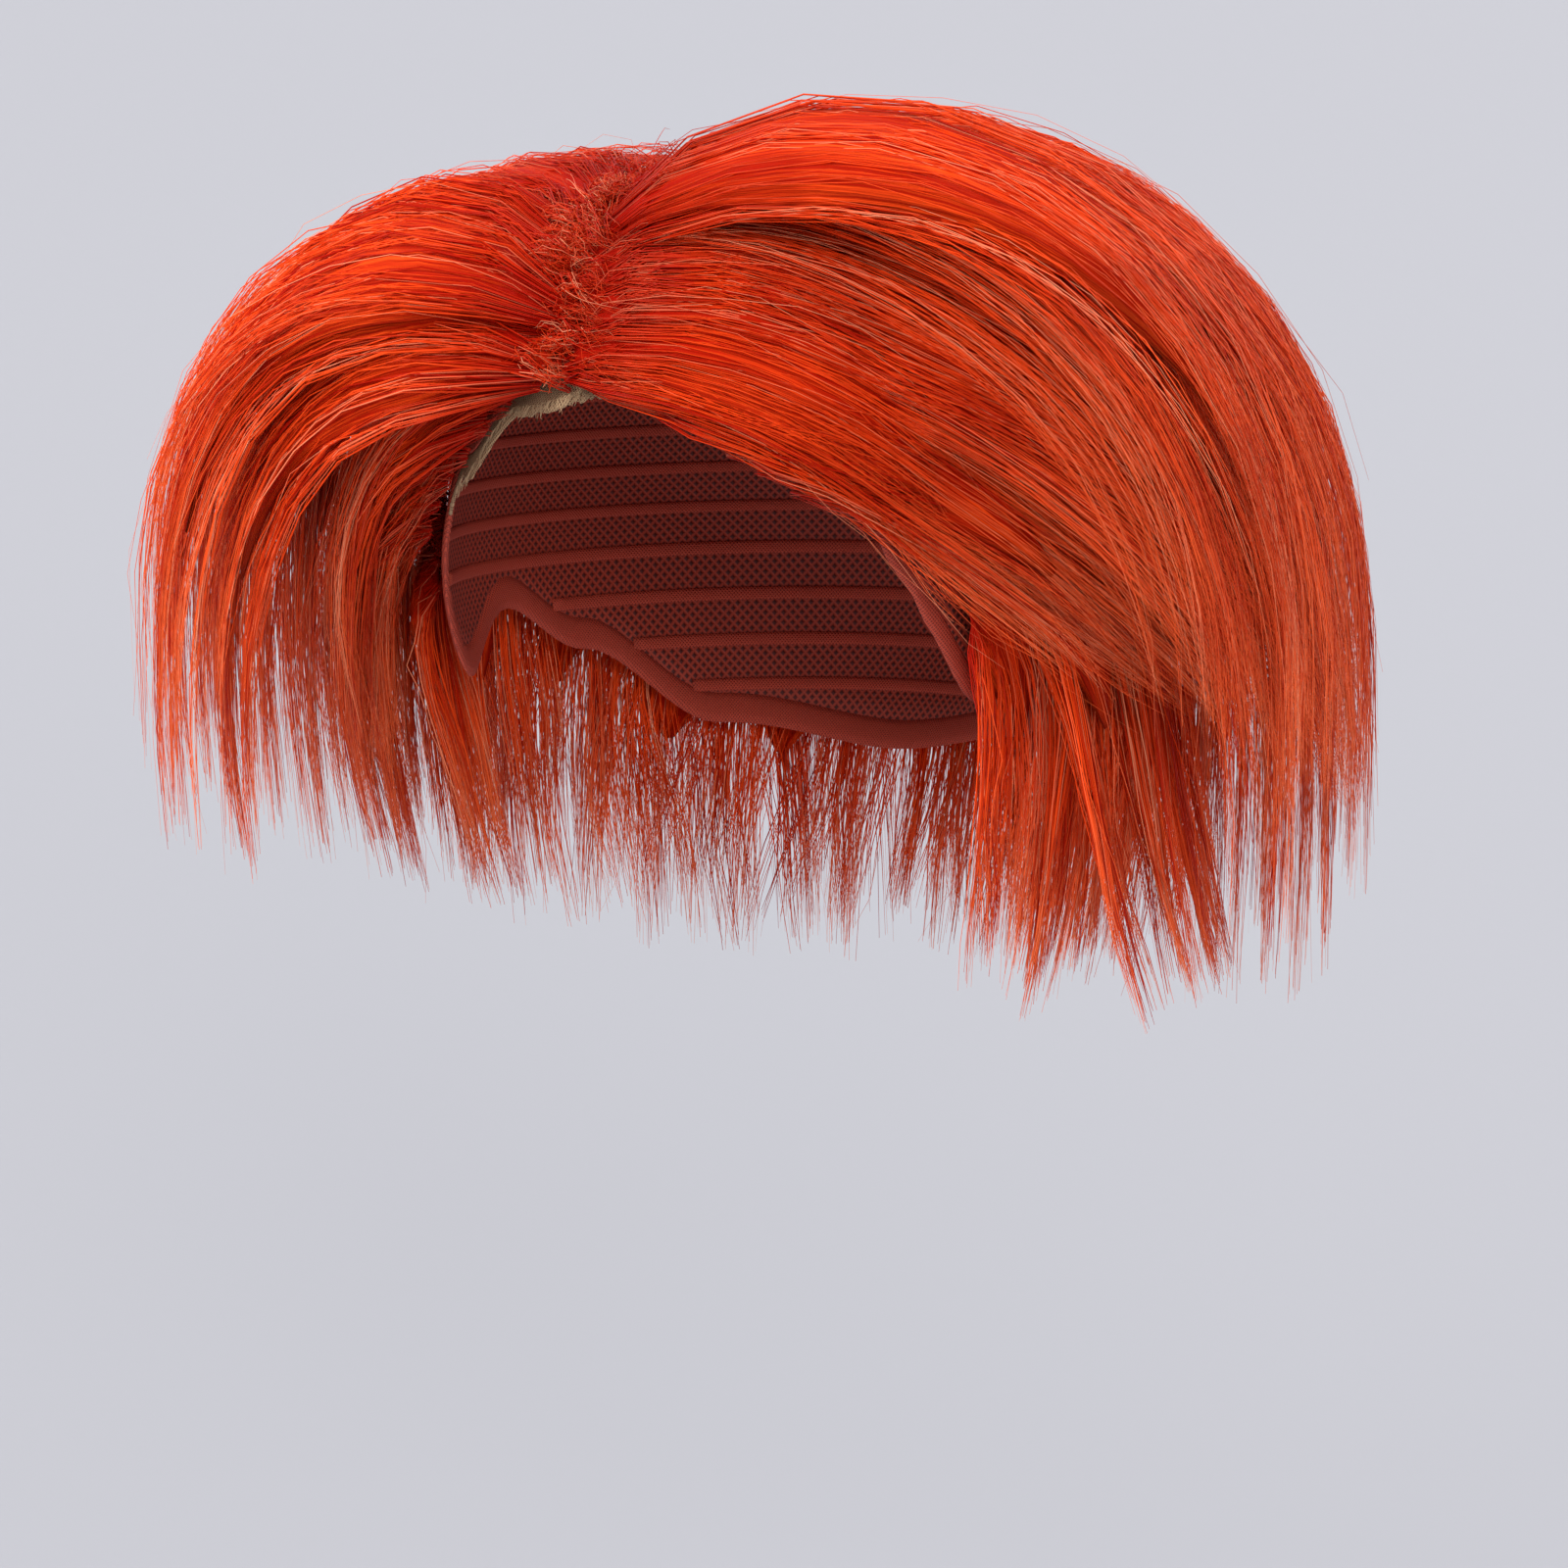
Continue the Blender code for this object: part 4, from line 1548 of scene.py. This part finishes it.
@dataclass(frozen=True)
class TuftSizes:
    """Short hair along a line.

    Attributes:
        tufts: Tufts along the line.
        aside: How far roots lie from the line, to both sides.
        lean: How far a tip lies aside of its root, least and most.
        rise: How high it rises, least and most.
        width: Width of a tuft.
        raised: How far off the cap its highest root lies.
        fibres: How its fibres are laid.
        before: Degrees of tilt by which it stops short of the hairline.
        slant: How far down a tuft leans, as a share of its lean aside, least and most.
        droop: How far a tip falls back, as a share of the rise.
        points: Points along a tuft.
    """

    tufts: int
    aside: float
    lean: Pair
    rise: Pair
    width: float
    raised: float
    fibres: FibreSizes
    before: float = 1.5
    slant: Pair = (-0.3, 0.6)
    droop: float = 0.5
    points: int = 7


class PartingPiece(Piece):
    """The rooted hair of the parting: a strip of short, frizzy hair that leans to both sides."""

    ROLE = ("parting_hair", "rooted_hair")
    LOCKS = LockSizes(sides=8)

    def __init__(self, sizes: Sequence[TuftSizes], fringe: FibreSizes, tree: FibreTree) -> None:
        """Starts the piece.

        Args:
            sizes: Its rows of short tufts.
            fringe: How the fibres of its longer locks are laid.
            tree: The tree that lays fibres.
        """
        super().__init__()
        self.sizes = sizes
        self.fringe = fringe
        self.tree = tree

    def build(self, fibre: bpy.types.Material, lock: bpy.types.Material) -> None:
        """Builds the locks and the tufts.

        Args:
            fibre: Material of the fibres.
            lock: Material of the locks.
        """
        guides = GuideMaker(self.ROLE[0]).make(WEFTS[self.ROLE[0]])
        self.keep(LockMaker(self.LOCKS).make("parting_locks", guides, lock), *self.ROLE)
        self.keep(self.tree.lay("parting_fibres", guides, self.fringe, fibre), *self.ROLE)
        for number, sizes in enumerate(self.sizes):
            tufts = self._tufts(sizes, random.Random(SEED + number))
            name = "parting_tufts_" + str(number + 1)
            self.keep(self.tree.lay(name, tufts, sizes.fibres, fibre), *self.ROLE)

    @staticmethod
    def _tufts(sizes: TuftSizes, vary: random.Random) -> list[Guide]:
        """Sets tufts along the parting.

        Args:
            sizes: Their sizes.
            vary: What they vary by.

        Returns:
            A guide for each tuft.
        """
        guides = []
        first, last = CAP.parting[-1][0], CAP.parting[0][0] - sizes.before
        for i in range(sizes.tufts):
            tilt = between(first, last, (i + vary.random()) / sizes.tufts)
            azimuth = CAP.parting_azimuth(tilt)
            azimuth += vary.uniform(-1, 1) * sizes.aside / HEAD.half_width / sin(radians(tilt)) * 180 / pi
            root = HEAD.point(azimuth, tilt, CAP.wall + CAP.gap + sizes.raised * vary.random())
            normal = HEAD.normal(root)
            aside = (HEAD.point(azimuth + 1, tilt, 0) - HEAD.point(azimuth - 1, tilt, 0)).normalized()
            down = (HEAD.point(azimuth, tilt + 1, 0) - HEAD.point(azimuth, tilt - 1, 0)).normalized()
            lean = aside * (between(*sizes.lean, vary.random()) * vary.choice((-1, 1)))
            lean += down * (vary.uniform(*sizes.slant) * lean.length)
            rise = normal * between(*sizes.rise, vary.random())
            points = []
            for k in range(sizes.points):
                s = k / (sizes.points - 1)
                droop = normal * (sizes.droop * rise.length * s**3)
                points.append(root + rise * (2 * s - s * s) + lean * (s * s) - droop)
            guides.append(GuideMaker.framed(points, sizes.width, sizes.width))
        return guides


@dataclass(frozen=True)
class CapSizes:
    """How the cap is made up and how finely it is shown.

    Attributes:
        columns: Columns round it.
        rows: Rows from the crown to the rim.
        lace_columns: Columns along the lace.
        lace_rows: Rows across the lace.
        across: Rows across a band or a sewn row.
        top: Tilt at which the net closes, in degrees.
        net: Inner and outer side of the net, as distances from the head.
        band: Width of the band round the rim, in degrees of tilt.
        cut_back: Degrees over which the rim comes back to its line past the lace.
        first_row: Tilt of the first sewn row of hair, in degrees.
        row_step: Tilt between two sewn rows, in degrees.
        row_width: Width of a sewn row.
        row_raised: How far a sewn row stands out of the net.
        row_clear: How far rows keep from the rim, as a share of the band.
        row_look: Degrees between two places at which a row's ends are looked for.
        row_least: Degrees that a row has to be longer than.
        under: Degrees of tilt by which the lace stays short of its upper line.
        frayed: Most degrees of tilt by which its edge is frayed.
        ending: Degrees over which the lace narrows at its ends.
        end_width: Its width at its ends, in degrees of tilt.
        threads: Loose threads along the edge of the lace.
        thread_ends: Degrees by which they keep from both ends of the lace.
        thread_root: Degrees of tilt that they start above the edge.
        thread_hidden: Length of a thread that lies on the lace.
        thread_length: The rest of its length, least and most.
        thread_aside: Most that a thread leans aside.
        thread_off: Most that it stands off.
        thread_points: Points along it.
        thread_section: Width and thickness within which its fibres lie.
    """

    columns: int = 144
    rows: int = 24
    lace_columns: int = 120
    lace_rows: int = 6
    across: int = 4
    top: float = 0.4
    net: Pair = (0.0007, 0.0013)
    band: float = 4.5
    cut_back: float = 10
    first_row: float = 14.0
    row_step: float = 6.5
    row_width: float = 0.0030
    row_raised: float = 0.0002
    row_clear: float = 0.7
    row_look: int = 3
    row_least: int = 12
    under: float = 0.4
    frayed: float = 0.7
    ending: float = 14
    end_width: float = 1.2
    threads: int = 140
    thread_ends: Pair = (4, 14)
    thread_root: float = 1.6
    thread_hidden: float = 0.0025
    thread_length: Pair = (0.0004, 0.0026)
    thread_aside: float = 0.7
    thread_off: float = 0.5
    thread_points: int = 6
    thread_section: Pair = (0.0012, 0.0008)


class ShellMaker:
    """Makes closed pieces of shell over the head."""

    def __init__(self, turn: Pair, columns: int, rows: int) -> None:
        """Starts the maker.

        Args:
            turn: Azimuths between which its pieces run. A full turn is closed.
            columns: Columns between them.
            rows: Rows down the piece.
        """
        self.turn = turn
        self.columns = columns
        self.rows = rows
        self.closed = turn[1] - turn[0] == 360
        self.count = columns if self.closed else columns + 1

    def make(
        self, name: str, tilts: Callable[[float], Pair], outs: Callable[[float], Pair]
    ) -> bpy.types.Object:
        """Makes one piece.

        Args:
            name: Name of the object.
            tilts: Upper and lower tilt at an azimuth.
            outs: Distances of the inner and outer side from the head at a share of the way down.

        Returns:
            The object.
        """
        vertices = []
        self.maps: list[Pair] = []
        for layer in (0, 1):
            for c in range(self.count):
                azimuth = between(*self.turn, c / self.columns)
                first, last = tilts(azimuth)
                for r in range(self.rows + 1):
                    tilt = between(first, last, r / self.rows)
                    vertices.append(HEAD.point(azimuth, tilt, outs(r / self.rows)[layer]))
                    self.maps.append((radians(azimuth) * HEAD.half_width, radians(tilt) * HEAD.half_depth))
        self.faces: list[tuple[int, ...]] = []
        self.places: list[Pair] = []
        rows = self.rows
        for c in range(self.columns):
            for r in range(rows):
                self._add((0, c, r), (0, c, r + 1), (0, c + 1, r + 1), (0, c + 1, r))
                self._add((1, c, r), (1, c + 1, r), (1, c + 1, r + 1), (1, c, r + 1))
            self._add((0, c, rows), (1, c, rows), (1, c + 1, rows), (0, c + 1, rows))
            self._add((0, c, 0), (0, c + 1, 0), (1, c + 1, 0), (1, c, 0))
        if not self.closed:
            last = self.columns
            for r in range(rows):
                self._add((0, 0, r), (1, 0, r), (1, 0, r + 1), (0, 0, r + 1))
                self._add((0, last, r), (0, last, r + 1), (1, last, r + 1), (1, last, r))
        return linked(name, SurfaceMaker.mesh(name, vertices, self.faces, self.places, "net"))

    def _at(self, layer: int, column: int, row: int) -> int:
        """Gives the number of a corner. Layer 0 is the inner side and 1 the outer."""
        return (layer * self.count + column % self.count) * (self.rows + 1) + row

    def _add(self, *corners: tuple[int, int, int]) -> None:
        """Adds a face.

        Args:
            corners: Layer, column and row of each corner.
        """
        self.faces.append(tuple(self._at(*corner) for corner in corners))
        for corner in corners:
            across, down = self.maps[self._at(*corner)]
            if self.closed and corner[1] == self.count:
                across += 2 * pi * HEAD.half_width
            self.places.append((across, down))


class CapPiece(Piece):
    """The net cap with its sewn rows and rim band, and its lace front."""

    CAP_ROLE = ("cap", "net")
    LACE_ROLE = ("lace_front", "lace")
    THREADS = FibreSizes(
        per_lock=2, wisp=1, wrap=1.0, spread=0.8, open=0.5, closed=0.8, ragged=0.5, frizz=0.0015,
        crimp=0.0005, radius=0.00009, glow=0.3, segments=5, seed=23,
    )

    def __init__(self, sizes: CapSizes, tree: FibreTree) -> None:
        """Starts the piece.

        Args:
            sizes: How it is made up.
            tree: The tree that lays threads.
        """
        super().__init__()
        self.sizes = sizes
        self.tree = tree

    def rim(self, azimuth: float) -> float:
        """Gives the tilt of the cap's own rim, which is cut back above the lace.

        Args:
            azimuth: Degrees from the front.

        Returns:
            Degrees from the crown.
        """
        back = self.sizes.cut_back
        share = min(max((CAP.lace_azimuth + back - folded(azimuth)) / back, 0), 1)
        return CAP.rim_tilt(azimuth) - CAP.lace_band * share

    def build(
        self,
        net: bpy.types.Material,
        tape: bpy.types.Material,
        lace: bpy.types.Material,
        thread: bpy.types.Material,
    ) -> None:
        """Builds the cap and the lace.

        Args:
            net: Material of the net.
            tape: Material of the band and the sewn rows.
            lace: Material of the lace.
            thread: Material of its loose threads.
        """
        sizes = self.sizes
        band = sizes.band
        whole = ShellMaker((0, 360), sizes.columns, sizes.rows)
        shell = whole.make("cap_net", lambda a: (sizes.top, self.rim(a) - band / 2), lambda s: sizes.net)
        self.keep(self._made(shell, net), *self.CAP_ROLE)
        ring = ShellMaker((0, 360), sizes.columns, sizes.across)
        section = self._rounded(0.0, CAP.wall)
        edge = ring.make("cap_band", lambda a: (self.rim(a) - band, self.rim(a)), section)
        self.keep(self._made(edge, tape), *self.CAP_ROLE)
        for row in self._rows(tape):
            self.keep(row, *self.CAP_ROLE)
        vary = random.Random(SEED)
        self.keep(self._made(self._lace(vary), lace), *self.LACE_ROLE)
        threads = self.tree.lay("lace_threads", self._threads(vary), self.THREADS, thread)
        self.keep(threads, *self.LACE_ROLE)

    def _lace(self, vary: random.Random) -> bpy.types.Object:
        """Makes the lace, which narrows at its ends and frays along its edge.

        Args:
            vary: What the edge varies by.

        Returns:
            The lace.
        """
        sizes = self.sizes
        side = CAP.lace_azimuth
        strip = ShellMaker((-side, side), sizes.lace_columns, sizes.lace_rows)
        low = (CAP.wall - CAP.lace_wall) / 2
        ragged = {}

        def tilts(azimuth: float) -> Pair:
            """Gives the upper and the lower tilt of the lace.

            Args:
                azimuth: Degrees from the front.

            Returns:
                Degrees from the crown.
            """
            rim = CAP.rim_tilt(azimuth)
            frayed = ragged.setdefault(azimuth, vary.uniform(0, 1) ** 2 * sizes.frayed)
            ending = max(0, 1 - (side - abs(azimuth)) / sizes.ending)
            narrowed = ending * (CAP.lace_band - sizes.end_width)
            return rim - CAP.lace_band + sizes.under, rim - frayed - narrowed

        return strip.make("lace_edge", tilts, self._rounded(low, low + CAP.lace_wall))

    @staticmethod
    def _made(piece: bpy.types.Object, finish: bpy.types.Material) -> bpy.types.Object:
        """Gives a piece its material."""
        piece.data.materials.append(finish)
        return piece

    @staticmethod
    def _rounded(low: float, high: float, edge: float = 0.2) -> Callable[[float], Pair]:
        """Gives a section that is thinner at both edges.

        Args:
            low: Inner side at its thickest.
            high: Outer side at its thickest.
            edge: Share of the thickness that is left at an edge.

        Returns:
            Inner and outer side at a share of the way across.
        """
        def section(share: float) -> Pair:
            """Gives the inner and the outer side.

            Args:
                share: How far across the section is.

            Returns:
                Their distances from the head.
            """
            full = sqrt(max(0, 1 - (2 * share - 1) ** 4)) * (1 - edge) + edge
            middle = (low + high) / 2
            half = (high - low) / 2 * full
            return middle - half, middle + half

        return section

    def _rows(self, tape: bpy.types.Material) -> list[bpy.types.Object]:
        """Sews rows of hair round the inside of the cap, from the nape up to the crown.

        Args:
            tape: Their material.

        Returns:
            One object for each row.
        """
        sizes = self.sizes
        rows = []
        half = sizes.row_width / 2 / HEAD.half_depth * 180 / pi
        lowest = max(self.rim(a) for a in range(0, 360, 5)) - sizes.band
        section = self._rounded(0.0, sizes.net[0] + sizes.row_raised)
        tilt = sizes.first_row
        while tilt < lowest:
            for start, stop in self._runs(tilt):
                columns = max(6, round((stop - start) / 360 * sizes.columns))
                maker = ShellMaker((start, stop), columns, sizes.across)
                name = "cap_row_" + str(len(rows) + 1)
                made = maker.make(name, lambda a, t=tilt: (t - half, t + half), section)
                rows.append(self._made(made, tape))
            tilt += sizes.row_step
        return rows

    def _runs(self, tilt: float) -> list[Pair]:
        """Finds where a row at a tilt lies on the cap.

        Args:
            tilt: Tilt of the row.

        Returns:
            The azimuths between which it lies.
        """
        step = self.sizes.row_look
        clear = self.sizes.band * self.sizes.row_clear
        held = [a for a in range(0, 361, step) if self.rim(a) - clear > tilt]
        if len(held) == 360 // step + 1:
            return [(0, 360)]
        runs = []
        for a in held:
            if runs and a - runs[-1][1] == step:
                runs[-1] = (runs[-1][0], a)
            else:
                runs.append((a, a))
        return [run for run in runs if run[1] - run[0] > self.sizes.row_least]

    def _threads(self, vary: random.Random) -> list[Guide]:
        """Sets loose threads along the edge of the lace.

        Args:
            vary: What they vary by.

        Returns:
            A guide for each thread.
        """
        sizes = self.sizes
        last = sizes.thread_points - 1
        first_end, last_end = sizes.thread_ends
        ends = (first_end - CAP.lace_azimuth, CAP.lace_azimuth - last_end)
        guides = []
        for i in range(sizes.threads):
            azimuth = between(*ends, (i + vary.random()) / sizes.threads)
            rim = CAP.rim_tilt(azimuth)
            root = HEAD.point(azimuth, rim - sizes.thread_root, CAP.wall / 2)
            down = (HEAD.point(azimuth, rim + 1, 0) - HEAD.point(azimuth, rim - 1, 0)).normalized()
            normal = HEAD.normal(root)
            aside = down.cross(normal)
            run = down + aside * vary.uniform(-sizes.thread_aside, sizes.thread_aside)
            run = run + normal * vary.uniform(0, sizes.thread_off)
            length = sizes.thread_hidden + between(*sizes.thread_length, vary.random() ** 2)
            points = [root + run * (length * k / last) for k in range(last + 1)]
            guides.append(GuideMaker.framed(points, *sizes.thread_section))
        return guides


@dataclass(frozen=True)
class Lamp:
    """A large soft light.

    Attributes:
        name: Its name.
        place: Where it hangs.
        size: Width of its face.
        power: Its power in watts.
    """

    name: str
    place: Triple
    size: float
    power: float


@dataclass(frozen=True)
class StudioSizes:
    """The plain studio round the wig.

    Attributes:
        azimuth: Camera's azimuth, in degrees.
        elevation: Camera's elevation, in degrees.
        distance: Camera's distance.
        field: Width of the view at the wig.
        aim: How far right and up of the origin the view's middle is.
        floor: Height of the floor.
        bend_from: Distance from the wig at which the floor turns up, all round.
        bend: Radius of that turn.
        bend_angle: How far it turns, in degrees.
        floor_columns: Columns round the floor.
        floor_rows: Rows up its turn.
        sky: Colour of the light from all round.
        sky_strength: Strength of that light.
        lamps: A key light at the front left, a weaker one at the front right and one behind.
        lit: What the lamps point at.
        sensor: Width of the camera's sensor in millimetres.
    """

    azimuth: float = 25.0
    elevation: float = 7.0
    distance: float = 1.6
    field: float = 0.400
    aim: Pair = (0.0055, -0.1515)
    floor: float = -0.52
    bend_from: float = 0.7
    bend: float = 2.0
    bend_angle: float = 55.0
    floor_columns: int = 72
    floor_rows: int = 16
    sky: Colour = (0.86, 0.87, 0.93, 1)
    sky_strength: float = 0.66
    lamps: tuple[Lamp, ...] = (
        Lamp("key", (-2.2, -3.4, 2.9), 1.7, 245.0),
        Lamp("front", (2.4, -3.8, 1.3), 1.5, 64.0),
        Lamp("rim", (2.2, 2.2, 2.9), 1.7, 78.0),
    )
    lit: Triple = (0, 0, -0.1)
    sensor: float = 36


class Studio:
    """Floor, light and camera."""

    def __init__(self, sizes: StudioSizes) -> None:
        """Starts the studio with its sizes."""
        self.sizes = sizes

    def build(self, finish: bpy.types.Material) -> None:
        """Builds the floor, the lights and the camera.

        Args:
            finish: Material of the floor.
        """
        self._floor(finish)
        self._lights()
        self._camera()

    def _floor(self, finish: bpy.types.Material) -> None:
        """Lays a round floor that curves up into a low wall all round.

        Args:
            finish: Its material.
        """
        sizes = self.sizes
        near = sizes.bend_from
        bend = sizes.bend
        turns = sizes.floor_columns
        steps = sizes.floor_rows
        profile = [(near * i / 3, 0.0) for i in range(1, 3)]
        for i in range(steps + 1):
            angle = radians(sizes.bend_angle) * i / steps
            profile.append((near + bend * sin(angle), bend * (1 - cos(angle))))
        vertices = [Vector((0, 0, sizes.floor))]
        for k in range(turns):
            angle = 2 * pi * k / turns
            vertices += [Vector((r * cos(angle), r * sin(angle), z + sizes.floor)) for r, z in profile]
        count = len(profile)
        faces = []
        for k in range(turns):
            here = 1 + k * count
            there = 1 + (k + 1) % turns * count
            faces.append((0, here, there))
            faces += [(here + i, here + i + 1, there + i + 1, there + i) for i in range(count - 1)]
        mesh = bpy.data.meshes.new("floor")
        mesh.from_pydata([tuple(v) for v in vertices], [], faces)
        mesh.polygons.foreach_set("use_smooth", [True] * len(mesh.polygons))
        mesh.materials.append(finish)
        linked("floor", mesh)

    def _lights(self) -> None:
        """Lights the wig from all round, and with the lamps."""
        world = bpy.data.worlds.new("studio")
        world.use_nodes = True
        back = world.node_tree.nodes["Background"]
        back.inputs["Color"].default_value = self.sizes.sky
        back.inputs["Strength"].default_value = self.sizes.sky_strength
        bpy.context.scene.world = world
        bpy.context.scene.view_settings.view_transform = "Standard"
        for lamp in self.sizes.lamps:
            light = bpy.data.lights.new(lamp.name, "AREA")
            light.size = lamp.size
            light.energy = lamp.power
            made = linked(lamp.name, light)
            made.location = lamp.place
            aim = Vector(self.sizes.lit) - Vector(lamp.place)
            made.rotation_euler = aim.to_track_quat("-Z", "Y").to_euler()

    def _camera(self) -> None:
        """Sets the camera at the photograph's angle."""
        a = radians(self.sizes.azimuth)
        e = radians(self.sizes.elevation)
        right = Vector((cos(a), sin(a), 0))
        back = Vector((sin(a) * cos(e), -cos(a) * cos(e), sin(e)))
        up = back.cross(right)
        place = right * self.sizes.aim[0] + up * self.sizes.aim[1] + back * self.sizes.distance
        data = bpy.data.cameras.new("camera")
        data.sensor_width = self.sizes.sensor
        data.lens = data.sensor_width * self.sizes.distance / self.sizes.field
        data.dof.use_dof = False
        camera = linked("camera", data)
        rows = [(right[i], up[i], back[i], place[i]) for i in range(3)]
        camera.matrix_world = Matrix((*rows, (0, 0, 0, 1)))
        bpy.context.scene.camera = camera


def hair_sizes(
    piece: str, seed: int, per_lock: int, wrap: float = 0.66, fly: int = 7, segments: int = 9,
    locks: LockSizes = LockSizes(),
) -> HairSizes:
    """Gives the usual sizes of a piece of hair.

    Args:
        piece: Its name.
        seed: Seed of what varies.
        per_lock: Fibres to a lock.
        wrap: Share of the way round a lock that has fibres.
        fly: Stray fibres to a lock.
        segments: Straight pieces of a fibre.
        locks: The locks under them.

    Returns:
        Its sizes.
    """
    return HairSizes(
        piece,
        FibreSizes(per_lock=per_lock, wrap=wrap, segments=segments, seed=seed),
        FibreSizes(
            per_lock=34, wisp=6, wrap=1.0, open=0.7, closed=0.4, ragged=0.45, frizz=0.009,
            crimp=0.0012, radius=0.00012, glow=0.20, seed=seed + 1,
        ),
        FibreSizes(
            per_lock=fly, wisp=1, wrap=0.55, spread=1.1, open=0.5, closed=0.7, ragged=0.45, frizz=0.016,
            crimp=0.0040, radius=0.00009, glow=0.45, segments=10, seed=seed + 2,
        ),
        locks,
    )


SHORT_LOCKS = LockSizes(closes=0.20, ends=0.58)
HAIR_SIZES = (
    hair_sizes("right_curtain", 3, 142),
    hair_sizes("left_sweep", 15, 178),
    hair_sizes("crown_hair", 27, 142),
    hair_sizes("back_hair", 39, 105, wrap=0.75, fly=5, segments=8),
    hair_sizes("left_side_hair", 51, 130, wrap=1.0, fly=6, segments=8, locks=SHORT_LOCKS),
    hair_sizes("right_side_hair", 63, 100, wrap=1.0, fly=5, segments=8, locks=SHORT_LOCKS),
    hair_sizes("nape_hair", 75, 115, wrap=1.0, fly=5, segments=8, locks=SHORT_LOCKS),
)
PARTING_TUFTS = (
    TuftSizes(
        tufts=135, aside=0.0125, lean=(0.003, 0.012), rise=(0.004, 0.009), width=0.0030, raised=0.0070,
        fibres=FibreSizes(
            per_lock=10, wisp=2, wrap=1.0, open=0.9, closed=1.6, ragged=0.5, frizz=0.008,
            crimp=0.0030, radius=0.00012, segments=6, seed=91,
        ),
    ),
    TuftSizes(
        tufts=60, aside=0.0060, lean=(0.014, 0.032), rise=(0.006, 0.013), width=0.0040, raised=0.0040,
        fibres=FibreSizes(
            per_lock=10, wisp=3, wrap=1.0, open=0.9, closed=1.4, ragged=0.4, frizz=0.012,
            crimp=0.0020, radius=0.00013, segments=8, seed=93,
        ),
    ),
)
FRINGE = FibreSizes(
    per_lock=40, wisp=4, wrap=1.0, open=0.8, closed=0.6, frizz=0.010, crimp=0.0012, radius=0.00015, seed=89,
)


def main() -> None:
    """Builds every piece and the studio, and reports on them."""
    logging.basicConfig(level=logging.INFO)
    fibre = HairFinish("hair_fibre", Source.FIBRE).build()
    roots = HairColours(middle=(0.60, 0.026, 0.003, 1), tip=(0.90, 0.080, 0.012, 1))
    rooted = HairFinish("rooted_fibre", Source.FIBRE, roots).build()
    # The locks' finish darkens them: painted shade under the fibres.
    lock = HairFinish("hair_lock", Source.LOCK, roughness=0.60, shine=0.12).build()
    net = NetFinish("cap_net", (0.34, 0.035, 0.014, 1), (0.07, 0.005, 0.002, 1), mesh=0.0024).build()
    tape = NetFinish("cap_tape", (0.50, 0.055, 0.022, 1), (0.26, 0.022, 0.010, 1), mesh=0.0009).build()
    lace = NetFinish("lace_net", (0.46, 0.29, 0.15, 1), (0.20, 0.09, 0.04, 1), mesh=0.0010).build()
    thread = PlainFinish("lace_thread", (0.50, 0.33, 0.18, 1)).build()
    tree = FibreTree()
    pieces = [
        (CapPiece(CapSizes(), tree), (net, tape, lace, thread)),
        (PartingPiece(PARTING_TUFTS, FRINGE, tree), (rooted, lock)),
    ]
    pieces += [(HairPiece(sizes, tree), (fibre, lock)) for sizes in HAIR_SIZES]
    total = 0
    for piece, finishes in pieces:
        piece.build(*finishes)
        piece.dress()
        counts = {part.name: sum(len(f.vertices) - 2 for f in part.data.polygons) for part in piece.parts}
        total += sum(counts.values())
        LOG.info("%s", counts)
    LOG.info("triangles in all: %s", total)
    Studio(StudioSizes()).build(PlainFinish("studio_grey", (0.43, 0.43, 0.455, 1)).build())


if __name__ == "__main__":
    main()
